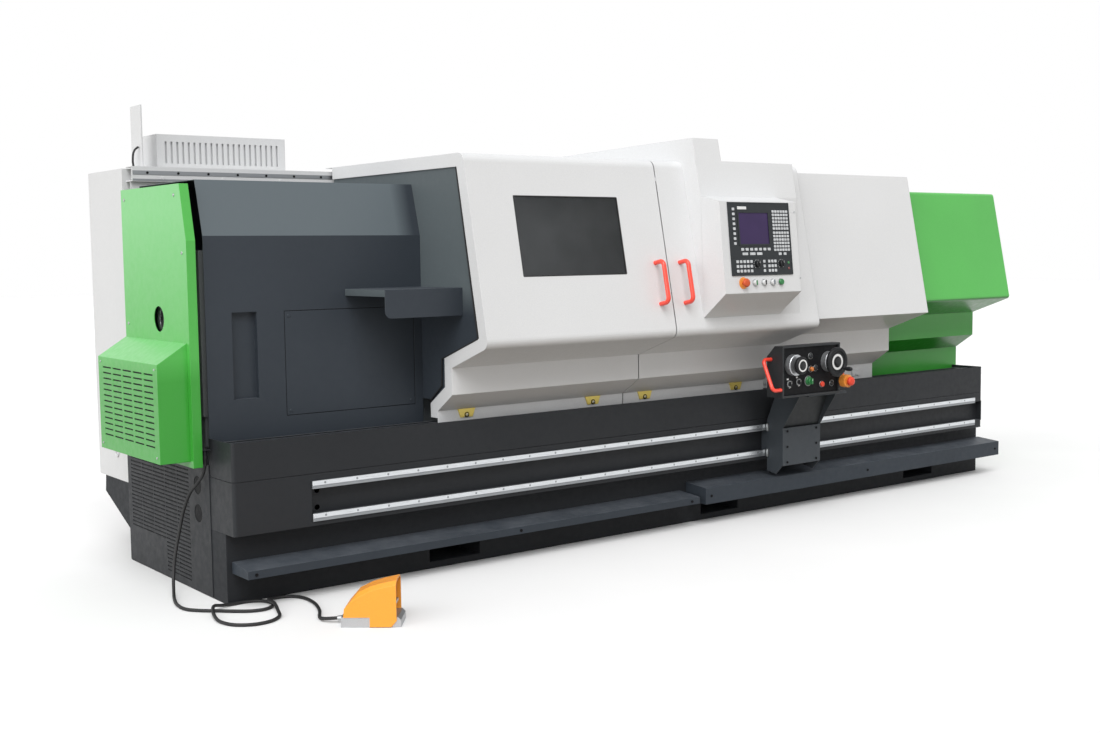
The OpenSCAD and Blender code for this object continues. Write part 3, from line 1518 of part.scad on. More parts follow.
module tool_turret() {
	half = turret_s / 2;
	shank = 25;
	reach = 35;
	color([0.30, 0.31, 0.33]) translate([turret_c[0], turret_c[1], turret_z]) difference() {
		union() {
			translate([-half, -half, 0]) cube([turret_s, turret_s, turret_h]);
			for (q = [0, 90, 180, 270])
				rotate([0, 0, q])
					translate([-half + 20, half - 1, turret_h - 45 - shank])
						linear_extrude(shank)
							polygon([[0, 0], [shank, 0], [shank, reach - 12], [0, reach]]);
		}
		translate([0, 0, -through]) cylinder(h = turret_h + 2, r = post_r + run_fit);
	}
}

// ---- Tailstock and quill ----
tail_base_y = bed_y + 5;
tail_base_w = bed_w - 10;
tail_base_h = 130;
tail_body_w = 220;
quill_wall = 50;
module tailstock() {
	x1 = tail_x + tail_l;
	color(GREEN) difference() {
		union() {
			along_x(tail_x, x1)
				way_outline(tail_base_y, tail_base_y + tail_base_w, bed_top + tail_base_h);
			block([tail_x + 20, spindle_y - tail_body_w / 2, bed_top + tail_base_h - through],
					[x1 - 20, spindle_y + tail_body_w / 2, spindle_z]);
			rod_x(tail_x + 20, x1 - 20, spindle_y, spindle_z, tail_body_w / 2);
			rod_x(tail_x, tail_x + 25, spindle_y, spindle_z, tail_body_w / 2 - 20);
		}
		rod_x(tail_x - through, x1 - quill_wall, spindle_y, spindle_z, quill_d / 2 + run_fit);
	}
}
module quill() {
	x0 = tail_x - quill_out;
	centre_r = 30;
	centre_l = 40;
	color(STEEL) {
		rod_x(x0, x0 + quill_l, spindle_y, spindle_z, quill_d / 2);
		rod_x(x0 - centre_l, x0, spindle_y, spindle_z, centre_r);
		translate([x0 - centre_l, spindle_y, spindle_z]) rotate([0, -90, 0])
			cylinder(h = centre_r / tan(30), r1 = centre_r, r2 = 0.5);
	}
}

// ---- Foot pedal ----
pedal_turn = -38.5;
pedal_at = [333, -536];
pivot_x = -70;
pivot_z = pedal_base_h + 18;
pivot_r = 5;
pedal_gland = 25;
gland_z = 20;
module at_pedal() {
	translate([pedal_at[0], pedal_at[1], 0]) rotate([0, 0, pedal_turn]) children();
}
tread_w = pedal_w - 50;
module pedal_base() {
	ear = 10;
	half = pedal_w / 2 - hood_t - slide_gap;
	color([0.55, 0.55, 0.56]) at_pedal() {
		along_y(-half, half)
			polygon([[-pedal_l / 2, 0], [pedal_l / 2, 0], [pedal_l / 2, pedal_base_h - 12],
					[pedal_l / 2 - 12, pedal_base_h], [-pedal_l / 2, pedal_base_h]]);
		translate([-pedal_l / 2 + 1, 0, gland_z]) rotate([0, -90, 0])
			cylinder(h = pedal_gland + 1, r1 = cord_d / 2 + 5, r2 = cord_d / 2 + 2);
		for (y = [-tread_w / 2 - ear - 1, tread_w / 2 + 1])
			block([pivot_x - 12, y, pedal_base_h - through], [pivot_x + 12, y + ear, pivot_z + 10]);
		translate([pivot_x, -tread_w / 2 - ear, pivot_z]) rotate([-90, 0, 0])
			cylinder(h = tread_w + 2 * ear, r = pivot_r);
	}
}
module pedal_treadle() {
	rise = 8;
	reach = 165;
	thick = 8;
	color([0.62, 0.62, 0.63]) at_pedal() translate([pivot_x, 0, pivot_z]) rotate([0, -rise, 0])
		difference() {
			along_y(-tread_w / 2, tread_w / 2)
				polygon([[-12, -6], [0, -11], [12, -6], [reach, -thick / 2 + 3], [reach, 8],
						[12, 10], [0, 11], [-12, 6]]);
			translate([0, -tread_w, 0]) rotate([-90, 0, 0])
				cylinder(h = 2 * tread_w, r = pivot_r + run_fit);
		}
}
// Side outline of the hood above the base, brought in by t; the opening is at +x
hood_open = pedal_l / 2 - 16;
hood_side = pedal_h - 14;
function hood_profile(t) = [
	[hood_open, pedal_base_h + slide_gap], [hood_open, hood_side - t],
	[hood_open - 62, hood_side - 13 - t], [hood_open - 109, hood_side - 27 - t],
	[hood_open - 156 + t / 2, hood_side - 50 - t], [hood_open - 181 + t / 2, hood_side - 68 - t],
	[-pedal_l / 2 + 14 + t, hood_side - 93], [-pedal_l / 2 + 10 + t, pedal_base_h + slide_gap]];
module hood_shell(t) {
	crown = pedal_h - hood_side;
	hull() {
		along_y(-pedal_w / 2 + t, pedal_w / 2 - t) polygon(hood_profile(t));
		along_y(-pedal_w / 2 + 28, pedal_w / 2 - 28)
			polygon([for (p = hood_profile(t)) p[1] > hood_side - 60 ? p + [0, crown] : p]);
	}
}
module pedal_hood() {
	wing = hood_open - 106;
	color([1.0, 0.60, 0.22]) at_pedal() {
		difference() {
			hood_shell(0);
			hood_shell(hood_t);
			block([hood_open - 1, -pedal_w, pedal_base_h - 1], [hood_open + 1, pedal_w, pedal_h * 2]);
			translate([hood_open - 20, -pedal_w / 2 + hood_t, pedal_base_h - 1])
				cube([40, pedal_w - 2 * hood_t, hood_side - hood_t - pedal_base_h]);
		}
		for (y = [-pedal_w / 2, pedal_w / 2 - hood_t])
			along_y(y, y + hood_t)
				polygon([[wing, 2], [hood_open - 22, 2], [hood_open - 1, 26],
						[hood_open - 1, pedal_base_h + 2], [wing, pedal_base_h + 2]]);
	}
}

// ---- Pedal cable ----
cord_exit_x = -22;
cord_exit_y = skirt_return - 8;
cord_exit_z = 613;
cord_route = [
	[cord_exit_x, cord_exit_y, cord_exit_z], [-22, 222, 585], [-23, 231, 552], [-25, 253, 522],
	[-31, 294, 486], [-42, 344, 442], [-54, 388, 366], [-70, 410, 266], [-88, 418, 168],
	[-104, 404, 92], [-122, 364, 34], [-146, 298, 7], [-170, 210, 7], [-172, 122, 7],
	[-132, 56, 7], [-78, 6, 7], [-26, -46, 7], [26, -85, 7], [80, -95, 7], [127, -67, 7],
	[146, -16, 7], [127, 35, 7], [80, 63, 7], [22, 66, 7], [-38, 54, 13], [-84, 26, 25],
	[-112, -18, 24], [-130, -74, 13], [-140, -150, 7], [-120, -226, 7], [-60, -274, 7],
	[14, -276, 7], [76, -232, 7], [106, -160, 11], [122, -96, 25], [130, -38, 22], [152, 18, 14],
	[208, 42, 7], [264, 18, 7], [287, -38, 7], [286, -108, 7], [270, -182, 7], [242, -258, 7],
	[208, -322, 7], [192, -356, 8], [187, -392, 12], [197, -423, 17], [221.5, -447.3, gland_z]];
cord_sides = 10;
// Point on the smooth curve through the route, a share t of the way from point i to i + 1
function route_at(i) = cord_route[min(max(i, 0), len(cord_route) - 1)];
function curve_point(i, t) =
	let (
		a = route_at(i - 1), b = route_at(i), c = route_at(i + 1), d = route_at(i + 2),
		p = 0.5 * (2 * b + (c - a) * t + (2 * a - 5 * b + 4 * c - d) * t * t
			+ (3 * b - a - 3 * c + d) * t * t * t)
	)
	[p[0], p[1], max(p[2], cord_d / 2)];
cord_path = concat(
	[for (i = [0:len(cord_route) - 2], t = i % 2 == 0 ? [0, 0.5] : [0]) curve_point(i, t)],
	[cord_route[len(cord_route) - 1]]);
function path_dir(i) =
	i == 0 ? [0, 0, -1]
	: i == len(cord_path) - 1 ? [cos(pedal_turn), sin(pedal_turn), 0]
	: unit(cord_path[i + 1] - cord_path[i - 1]);
// Two directions across the path that turn as little as possible from ring to ring
function side_dirs() = [
	for (i = 0, s = [1, 0, 0]; i < len(cord_path);
		i = i + 1, s = i < len(cord_path)
			? unit(s - path_dir(i) * (s * path_dir(i))) : s) s];
function cord_ring(i, s) =
	let (w = cross(path_dir(i), s))
	[for (k = [0:cord_sides - 1])
		cord_path[i] + cord_d / 2 * (s * cos(360 * k / cord_sides) + w * sin(360 * k / cord_sides))];

module pedal_cord() {
	sides = side_dirs();
	rings = len(cord_path);
	pts = [for (i = [0:rings - 1]) each cord_ring(i, sides[i])];
	walls = [for (i = [0:rings - 2], k = [0:cord_sides - 1])
		let (a = i * cord_sides + k, b = i * cord_sides + (k + 1) % cord_sides)
		each [[a, a + cord_sides, b + cord_sides], [a, b + cord_sides, b]]];
	caps = [[for (k = [0:cord_sides - 1]) k],
			[for (k = [cord_sides - 1:-1:0]) (rings - 1) * cord_sides + k]];
	color(BLACK) polyhedron(points = pts, faces = concat(walls, caps), convexity = 10);
}

// ---- What is drawn ----
place() base_frame();
place() bed();
place() left_end_panel();
place() upper_skirt();
place() lower_skirt();
place() floor_trays();
place() guide_rails();
place() headstock_housing();
place() headstock_cover();
place() bulkhead();
place() end_guard();
place() belt_cover();
place() electrical_cabinet();
place() rear_wall();
place() tail_cover();
place() main_motor();
place() drive_belt();
place() pedal_base();
place() pedal_hood();
place() pedal_cord();
place() left_door();
place() window_glass();
place() left_handle();
place() left_rollers();
place() right_door();
place() pendant_box();
place() right_handle();
place() right_rollers();
place() cnc_panel();
place() pendant_estop();
place() feed_knob();
place() speed_knob();
place() start_button();
place() middle_cover();
place() control_carriage();
place() control_box();
place() control_handles();
place() left_handwheel();
place() right_handwheel();
place() control_estop();
place() red_button();
place() orange_button();
place() green_selector();
place() left_selector();
place() right_selector();
place() spindle();
place() chuck();
place() jaw_1();
place() jaw_2();
place() jaw_3();
place() input_shaft();
place() motor_pulley();
place() feed_screw();
place() saddle();
place() cross_slide();
place() tool_turret();
place() tailstock();
place() quill();
place() cabinet_door();
place() pedal_treadle();
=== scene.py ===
"""The looks of the engine lathe: materials, trim, the pedal's cable, floor, light and camera."""
import math

import bmesh
import bpy
from mathutils import Matrix, Vector


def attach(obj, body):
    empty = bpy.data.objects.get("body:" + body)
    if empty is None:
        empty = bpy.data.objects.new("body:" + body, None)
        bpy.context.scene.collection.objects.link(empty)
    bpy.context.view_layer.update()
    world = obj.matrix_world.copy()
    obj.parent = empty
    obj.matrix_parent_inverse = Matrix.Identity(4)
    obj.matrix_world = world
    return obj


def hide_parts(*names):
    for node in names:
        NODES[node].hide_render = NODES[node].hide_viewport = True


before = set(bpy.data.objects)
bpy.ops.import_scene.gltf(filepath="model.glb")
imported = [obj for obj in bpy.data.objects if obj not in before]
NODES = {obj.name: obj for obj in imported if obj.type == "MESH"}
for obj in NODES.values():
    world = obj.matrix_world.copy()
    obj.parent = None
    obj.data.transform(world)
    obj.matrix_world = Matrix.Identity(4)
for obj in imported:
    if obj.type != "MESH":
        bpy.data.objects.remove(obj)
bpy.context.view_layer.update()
scene = bpy.context.scene

# ---------------------------------------------------------------- places
# Machine places are in millimetres: X from the left end of the base, Y from the
# skirt's front, Z from the floor. at() turns them into the frame's metres.
X, Y, Z = range(3)
ORIGIN = (2585.0, 637.0)

# The doors' upper face leans from the brow down to the belly.
ROOF_Z = 1885
BROW_Y = -152
BELLY_Y = -325
BELLY_Z = 1035
# The pendant's front leans back by PENDANT_LEAN over its height, to PENDANT_FRONT at its top.
PENDANT_TOP = 1680
PENDANT_LOW = 1232
PENDANT_FRONT = -415
PENDANT_LEAN = 45
# Lower left corners of the operator panel (x, z) and of the control box's face (x, y, z).
PANEL_CORNER = (2405, 1318)
BOX_CORNER = (2880, -333, 676)
# Outer faces of sheets that look left, and the depth just behind a sheet.
BULKHEAD_X = 1056
GUARD_X = -85
BELT_COVER_X = -215
BEHIND_SHEET = 3.3

PENDANT_TILT = math.atan(PENDANT_LEAN / (PENDANT_TOP - PENDANT_LOW))
FACE_TILT = math.atan((BROW_Y - BELLY_Y) / (ROOF_Z - BELLY_Z))


def at(x, y, z):
    """A machine place as a point of the frame."""
    return Vector(((x - ORIGIN[0]) / 1000, (y - ORIGIN[1]) / 1000, z / 1000))


def tilted(origin, tilt):
    """A frame on a front-facing panel leaning back by tilt: x along X, y up it, z out of it."""
    s, c = math.sin(tilt), math.cos(tilt)
    m = Matrix(((1, 0, 0), (0, s, -c), (0, c, s))).to_4x4()
    return Matrix.Translation(origin) @ m


def on_pendant(x, z):
    """A frame on the pendant's leaning front."""
    y = PENDANT_FRONT - (PENDANT_TOP - z) * math.tan(PENDANT_TILT)
    return tilted(at(x, y, z), PENDANT_TILT)


def on_face(x, z):
    """A frame on the doors' leaning upper face."""
    y = BROW_Y - (ROOF_Z - z) * math.tan(FACE_TILT)
    return tilted(at(x, y, z), FACE_TILT)


def on_box(dx, dz):
    """A frame on the control box's plate, dx and dz from its lower left corner."""
    x, y, z = BOX_CORNER
    return tilted(at(x + dx, y, z + dz), 0.0)


def on_panel(u, v, out=0):
    """A frame on the operator panel, u and v from its lower left corner."""
    return on_pendant(*PANEL_CORNER) @ Matrix.Translation((u / 1000, v / 1000, out / 1000))


def facing_front(x, y, z):
    """A frame whose z looks to the machine's front."""
    return Matrix.Translation(at(x, y, z)) @ Matrix.Rotation(math.pi / 2, 4, "X")


def facing_left(x, y, z):
    """A frame whose z looks to the machine's left."""
    return Matrix.Translation(at(x, y, z)) @ Matrix.Rotation(-math.pi / 2, 4, "Y")


# ---------------------------------------------------------------- camera
# Its place in metres, its yaw, pitch and roll in degrees, and its lens in millimetres.
CAMERA_PLACE = (-4.845, -5.715, 1.446)
CAMERA_ANGLES = (37.487, 4.883, -0.724)
CAMERA_LENS = 43.93


def make_camera():
    """The camera, turned right by yaw, down by pitch and about its own line of sight by roll."""
    yaw, pitch, roll = map(math.radians, CAMERA_ANGLES)
    level = math.cos(pitch)
    ahead = Vector((math.sin(yaw) * level, math.cos(yaw) * level, -math.sin(pitch)))
    right = Vector((math.cos(yaw), -math.sin(yaw), 0))
    up = right.cross(ahead)
    rolled_right = right * math.cos(roll) + up * math.sin(roll)
    rolled_up = -right * math.sin(roll) + up * math.cos(roll)
    cam = bpy.data.cameras.new("camera")
    cam.lens = CAMERA_LENS
    cam.sensor_width = 36
    cam.clip_end = 200
    obj = bpy.data.objects.new("camera", cam)
    turn = Matrix((rolled_right, rolled_up, -ahead)).transposed().to_4x4()
    obj.matrix_world = Matrix.Translation(CAMERA_PLACE) @ turn
    scene.collection.objects.link(obj)
    scene.camera = obj


make_camera()


# ---------------------------------------------------------------- materials
def linear(value):
    """One channel of a screen colour, 0 to 255, as linear light."""
    if value > 10:
        return ((value / 255 + 0.055) / 1.055) ** 2.4
    return value / 255 / 12.92


def srgb(r, g, b):
    """A screen colour as a linear colour with full cover."""
    return (linear(r), linear(g), linear(b), 1)


class Shader:
    """A small helper that wires one Principled material."""

    def __init__(self, name):
        self.mat = bpy.data.materials.new(name)
        self.mat.use_nodes = True
        self.tree = self.mat.node_tree
        self.bsdf = self.tree.nodes["Principled BSDF"]
        self.coord = self.add("ShaderNodeTexCoord").outputs["Object"]

    def add(self, kind, **settings):
        n = self.tree.nodes.new(kind)
        for k, v in settings.items():
            setattr(n, k, v)
        return n

    def link(self, a, b):
        self.tree.links.new(a, b)

    def feed(self, socket, value):
        """Links a reading to a socket, or sets the socket to a plain value."""
        if isinstance(value, bpy.types.NodeSocket):
            self.link(value, socket)
        else:
            socket.default_value = value

    def put(self, name, value):
        self.feed(self.bsdf.inputs[name], value)

    def math(self, op, a, b):
        n = self.add("ShaderNodeMath", operation=op)
        self.feed(n.inputs[0], a)
        self.feed(n.inputs[1], b)
        return n.outputs[0]

    def noise(self, scale, detail, stretch=None):
        """Cloudy noise in the object's own coordinates, stretched where a grain runs along an axis."""
        vec = self.coord
        if stretch:
            m = self.add("ShaderNodeMapping")
            m.inputs["Scale"].default_value = stretch
            self.link(vec, m.inputs["Vector"])
            vec = m.outputs[0]
        n = self.add("ShaderNodeTexNoise")
        n.inputs["Scale"].default_value = scale
        n.inputs["Detail"].default_value = detail
        self.link(vec, n.inputs["Vector"])
        return n.outputs["Fac"]

    def ramp(self, fac, low, high, a=0.0, b=1.0):
        """Goes from a to b as fac goes from low to high, and no further."""
        n = self.add("ShaderNodeMapRange", clamp=True)
        self.link(fac, n.inputs["Value"])
        for k, v in (("From Min", low), ("From Max", high), ("To Min", a), ("To Max", b)):
            n.inputs[k].default_value = v
        return n.outputs[0]

    def mix(self, fac, a, b):
        n = self.add("ShaderNodeMix", data_type="RGBA")
        for i, v in ((0, fac), (6, a), (7, b)):
            self.feed(n.inputs[i], v)
        return n.outputs[2]

    def axis(self, index):
        """The place along X, Y or Z, in metres."""
        n = self.add("ShaderNodeSeparateXYZ")
        self.link(self.coord, n.inputs[0])
        return n.outputs[index]

    def bump(self, height, strength, distance, normal):
        n = self.add("ShaderNodeBump")
        n.inputs["Strength"].default_value = strength
        n.inputs["Distance"].default_value = distance
        self.link(height, n.inputs["Height"])
        self.link(normal, n.inputs["Normal"])
        return n.outputs[0]

    def round_edges(self, radius):
        n = self.add("ShaderNodeBevel", samples=4)
        n.inputs["Radius"].default_value = radius
        return n.outputs[0]

    def edge_mask(self, rounded):
        """1 where the rounded normal turns away from the face's own: along the edges."""
        geo = self.add("ShaderNodeNewGeometry")
        dot = self.add("ShaderNodeVectorMath", operation="DOT_PRODUCT")
        self.link(rounded, dot.inputs[0])
        self.link(geo.outputs["True Normal"], dot.inputs[1])
        return self.ramp(dot.outputs["Value"], 0.99, 0.80)

    def facing(self, index):
        """How far the face looks along X, Y or Z, from -1 to 1."""
        geo = self.add("ShaderNodeNewGeometry")
        n = self.add("ShaderNodeSeparateXYZ")
        self.link(geo.outputs["True Normal"], n.inputs[0])
        return n.outputs[index]

    def upward(self):
        return self.ramp(self.facing(Z), 0.6, 0.98)

    def where(self, *tests):
        """A mask: each test is a reading (facing or axis), its index, and its ramp's start and end."""
        mask = 1.0
        for reading, index, start, end in tests:
            mask = self.math("MULTIPLY", self.ramp(reading(self, index), start, end), mask)
        return mask


def shade(color, k):
    """A colour k times as bright."""
    return tuple(min(1, c * k) for c in color[:3]) + (1,)


def paint(name, color, rough, grain=600, bump=0.12, spread=0.10, edge=0.25, dust=0.0, radius=0.003,
          coat=0.0, gloss=0.5, light_and_shade=()):
    """Sprayed enamel or powder coat on folded sheet: fine peel, cloudy tone, rubbed edges, settled dust.
    Bump is the peel's depth, spread the range of tone, edge and dust how much is rubbed or has settled.
    Each entry of light_and_shade is a colour of painted light or shade, and the tests of the faces that it
    is painted on."""
    s = Shader(name)
    cloud = s.ramp(s.noise(1.7, 3), 0.3, 0.7)
    fine = s.noise(grain, 3)
    base = s.mix(cloud, shade(color, 1 - spread), shade(color, 1 + spread * 0.6))
    speck = s.ramp(fine, 0.35, 0.75, 0.0, 0.35)
    base = s.mix(speck, base, shade(color, 1.35))
    # Painted light and shade: each colour goes on the faces that its tests pick out.
    for tone, *tests in light_and_shade:
        base = s.mix(s.where(*tests), base, s.mix(speck, tone, shade(tone, 1.2)))
    rounded = s.round_edges(radius)
    if edge:
        rubbed = s.ramp(s.noise(28, 4), 0.35, 0.7, 0.15, edge)
        base = s.mix(s.math("MULTIPLY", s.edge_mask(rounded), rubbed), base, shade(color, 2.1))
    if dust:
        settled = s.ramp(s.noise(9, 5), 0.3, 0.75, 0.3 * dust, dust)
        base = s.mix(s.math("MULTIPLY", s.upward(), settled), base, DUST)
    s.put("Base Color", base)
    s.put("Roughness", s.ramp(s.noise(35, 3), 0.3, 0.7, rough - 0.05, rough + 0.07))
    s.put("Normal", s.bump(fine, bump, 0.0006, rounded))
    s.put("Specular IOR Level", gloss)
    s.put("Coat Weight", coat)
    s.put("Coat Roughness", 0.15)
    return s.mat


def metal(name, color, rough, stretch=(3, 60, 60)):
    """Ground or turned metal, its grain drawn out along one axis."""
    s = Shader(name)
    grain = s.noise(12, 5, stretch)
    s.put("Base Color", s.mix(s.ramp(grain, 0.25, 0.75), shade(color, 0.85), shade(color, 1.15)))
    s.put("Metallic", 1.0)
    s.put("Roughness", s.ramp(grain, 0.3, 0.7, rough - 0.06, rough + 0.1))
    s.put("Normal", s.bump(grain, 0.06, 0.0004, s.round_edges(0.0015)))
    return s.mat


def plastic(name, color, rough, grain=900, bump=0.08, spread=0.06, glow=0.0, gloss=0.5):
    """Moulded plastic or rubber: a fine matt grain and a little handling shine."""
    s = Shader(name)
    fine = s.noise(grain, 2)
    wide = s.ramp(s.noise(40, 3), 0.3, 0.7)
    s.put("Base Color", s.mix(wide, shade(color, 1 - spread), shade(color, 1 + spread)))
    s.put("Roughness", s.ramp(s.noise(60, 3), 0.3, 0.7, rough - 0.06, rough + 0.08))
    s.put("Normal", s.bump(fine, bump, 0.0003, s.round_edges(0.001)))
    s.put("Specular IOR Level", gloss)
    if glow:
        s.put("Emission Color", color)
        s.put("Emission Strength", glow)
    return s.mat


def two_tone(name, index, limit, below, above, gloss=0.5):
    """One finish below a plane across an axis and another above it: (colour, metallic, roughness)."""
    s = Shader(name)
    s.put("Specular IOR Level", gloss)
    side = s.math("GREATER_THAN", s.axis(index), limit)
    grain = s.noise(260, 3)
    tone = s.ramp(grain, 0.3, 0.7, 0.0, 0.3)
    low = s.mix(tone, below[0], shade(below[0], 1.3))
    high = s.mix(tone, above[0], shade(above[0], 1.3))
    s.put("Base Color", s.mix(side, low, high))
    s.put("Metallic", s.math("ADD", s.math("MULTIPLY", side, above[1] - below[1]), below[1]))
    rough = s.math("ADD", s.math("MULTIPLY", side, above[2] - below[2]), below[2])
    s.put("Roughness", s.math("ADD", rough, s.math("MULTIPLY", tone, 0.2)))
    s.put("Normal", s.bump(grain, 0.05, 0.0003, s.round_edges(0.001)))
    return s.mat


def display(name):
    """The dark display, which glows a little and is lighter towards its top."""
    s = Shader(name)
    height = s.ramp(s.axis(Z), 1.45, 1.64)
    cloud = s.ramp(s.noise(9, 2), 0.3, 0.7, 0.0, 0.5)
    s.put("Base Color", s.mix(s.math("MULTIPLY", height, cloud), srgb(50, 37, 72), srgb(66, 49, 92)))
    s.put("Roughness", s.ramp(s.noise(500, 2), 0.3, 0.7, 0.16, 0.24))
    s.put("Specular IOR Level", 0.2)
    s.put("Emission Color", srgb(60, 42, 88))
    s.put("Emission Strength", 0.15)
    return s.mat


def tinted_glass(name):
    """The window's grey glass, a little smeared."""
    s = Shader(name)
    smear = s.ramp(s.noise(6, 4), 0.3, 0.7)
    s.put("Base Color", s.mix(smear, (0.25, 0.26, 0.27, 1), (0.30, 0.31, 0.32, 1)))
    s.put("Roughness", s.ramp(smear, 0.0, 1.0, 0.01, 0.05))
    s.put("Transmission Weight", 0.94)
    s.put("IOR", 1.2)
    return s.mat


SLATE = srgb(48, 54, 61)
# Painted shade: a darker copy of the slate for the skirts, the left end panel and the base frame.
SHADED_SLATE = srgb(34, 36, 39)
GREEN = srgb(79, 173, 76)
WHITE = srgb(209, 210, 211)
DUST = srgb(118, 122, 128)

# Painted light and shade: lighter or darker colours painted on some faces of a piece, by which way they
# look and how high they stand.
FACING, AXIS = Shader.facing, Shader.axis
BULKHEAD = at(BULKHEAD_X, 0, 0)[X]
SLATE_PAINTED_LIGHT = (
    # Painted highlight on the cover's leaning band, fading out short of the bulkhead, where the band lies
    # in shade.
    (srgb(92, 101, 106), (FACING, Z, 0.10, 0.20), (FACING, Z, 0.8, 0.6),
     (AXIS, X, BULKHEAD - 0.03, BULKHEAD - 0.12)),
    # Painted light on high faces that look left, such as the bulkhead's.
    (srgb(84, 92, 95), (FACING, X, -0.7, -0.9), (AXIS, Z, 1.17, 1.29)))
GREEN_PAINTED_LIGHT_AND_SHADE = (
    # Painted light on faces that look left, paler towards the top.
    (srgb(122, 199, 125), (FACING, X, -0.7, -0.9), (AXIS, Z, 1.1, 1.65)),
    # Painted shade on whatever is low and doesn't look right.
    (srgb(58, 152, 54), (AXIS, Z, 1.03, 0.93), (FACING, X, 0.6, 0.3)),
    # Painted light on low faces that look up.
    (srgb(101, 182, 101), (FACING, Z, 0.2, 0.4), (AXIS, Z, 1.3, 1.2)),
    # Painted shade on faces that look down.
    (srgb(32, 126, 30), (FACING, Z, -0.2, -0.4)))
# Painted shade on the carriage's front plate where it slopes under.
CARRIAGE_PAINTED_SHADE = ((srgb(34, 37, 39), (FACING, Y, -0.3, -0.5), (FACING, Z, -0.1, -0.2)),)

# Planes where a piece changes finish: bracket and roller, wheel and dial, casting and ground ways.
BRACKET_Y = 90
WHEEL_DIAL_Y = -376
WAYS_Z = 769.2

MATERIALS = {
    "slate": paint("slate_texture_paint", SLATE, 0.50, grain=700, bump=0.22, edge=0.30, dust=0.25,
                   gloss=0.3, light_and_shade=SLATE_PAINTED_LIGHT),
    "slate_skirt": paint("slate_skirt_paint", SHADED_SLATE, 0.50, grain=700, bump=0.22, edge=0.30,
                         dust=0.3, gloss=0.25),
    "slate_dusty": paint("slate_paint_walked_on", SLATE, 0.55, grain=700, bump=0.25, spread=0.14,
                         edge=0.45, dust=0.35, gloss=0.25),
    "base": paint("slate_paint_on_casting", SHADED_SLATE, 0.6, grain=160, bump=0.35, spread=0.16,
                  edge=0.4, dust=0.3, radius=0.006, gloss=0.2),
    "green": paint("green_enamel", GREEN, 0.34, grain=420, bump=0.10, spread=0.07, edge=0.12,
                   dust=0.12, coat=0.15, gloss=0.35, light_and_shade=GREEN_PAINTED_LIGHT_AND_SHADE),
    "white": paint("white_enamel", WHITE, 0.36, grain=420, bump=0.08, spread=0.025, edge=0.0,
                   dust=0.05, radius=0.004, coat=0.15),
    "pale": paint("pale_cabinet_paint", srgb(206, 207, 208), 0.45, grain=520, spread=0.03, edge=0.0,
                  dust=0.1),
    "carriage": paint("carriage_paint", srgb(58, 63, 68), 0.5, bump=0.18, edge=0.3, dust=0.15,
                      gloss=0.3, light_and_shade=CARRIAGE_PAINTED_SHADE),
    "carriage_box": paint("box_paint", srgb(42, 44, 46), 0.45, bump=0.15, edge=0.6, dust=0.1, gloss=0.3),
    "orange": paint("orange_enamel", srgb(251, 160, 52), 0.38, grain=300, bump=0.15, spread=0.06,
                    dust=0.1, coat=0.2),
    "red_tube": paint("red_handle_coating", srgb(240, 70, 52), 0.32, grain=350, bump=0.06, spread=0.05,
                      edge=0.0, coat=0.3),
    "iron": paint("cast_iron", srgb(108, 112, 114), 0.62, grain=130, bump=0.4, spread=0.15, edge=0.4),
    "steel": metal("turned_steel", srgb(186, 188, 190), 0.28),
    "rail": metal("ground_rail", srgb(214, 217, 220), 0.30, stretch=(1.5, 80, 80)),
    "rail_low": metal("rail_foot", srgb(150, 153, 156), 0.42, stretch=(1.5, 80, 80)),
    "alloy": metal("pedal_alloy", srgb(178, 180, 182), 0.46, stretch=(8, 60, 60)),
    "zinc": metal("zinc_screw", srgb(170, 172, 172), 0.35, stretch=(20, 20, 20)),
    "black": plastic("black_plastic", srgb(22, 23, 25), 0.42, gloss=0.35),
    "panel": plastic("panel_black", srgb(36, 40, 43), 0.42, grain=1200, bump=0.05, gloss=0.3),
    # Black anodised plate, also worn by black bolts and hubs, and by the painted shade in the louvres and
    # in the access panel's groove.
    "inner_black": plastic("anodised_black_and_painted_shade", srgb(15, 15, 17), 0.6, grain=800, bump=0.1, gloss=0.15),
    "rubber": plastic("black_rubber", srgb(24, 24, 25), 0.62, grain=700, bump=0.15),
    "red": plastic("red_plastic", srgb(222, 66, 42), 0.32, gloss=0.35),
    "estop_dull": plastic("handled_red_plastic", srgb(196, 84, 46), 0.45, gloss=0.3),
    "amber": plastic("amber_plastic", srgb(214, 122, 56), 0.28),
    "green_key": plastic("green_plastic", srgb(38, 116, 60), 0.3),
    "yellow": plastic("yellow_plate", srgb(236, 150, 62), 0.4),
    "key": plastic("grey_key", srgb(196, 199, 202), 0.45, bump=0.06, spread=0.12),
    "key_dark": plastic("dark_key", srgb(96, 104, 112), 0.45, bump=0.06, spread=0.12),
    "ink": plastic("white_ink", srgb(225, 226, 226), 0.5, bump=0.03, spread=0.03),
    "lamp_green": plastic("green_lamp", srgb(60, 120, 70), 0.2, bump=0.02, spread=0.05, glow=0.15),
    "lamp_red": plastic("red_lamp", srgb(110, 56, 56), 0.2, bump=0.02, spread=0.05, glow=0.15),
    "rollers": two_tone("bronze_bracket", Y, at(0, BRACKET_Y, 0)[Y],
                        (srgb(222, 200, 106), 0.35, 0.42), (srgb(150, 152, 155), 1.0, 0.3)),
    "wheel": two_tone("dial_and_wheel", Y, at(0, WHEEL_DIAL_Y, 0)[Y],
                      (srgb(22, 23, 25), 0.0, 0.42), (srgb(186, 188, 191), 0.85, 0.36), gloss=0.2),
    "bed": two_tone("bed_casting", Z, at(0, 0, WAYS_Z)[Z],
                    (srgb(104, 109, 112), 0.1, 0.6), (srgb(170, 172, 174), 1.0, 0.3)),
    "screen": display("dark_display"),
    "glass": tinted_glass("tinted_window"),
}

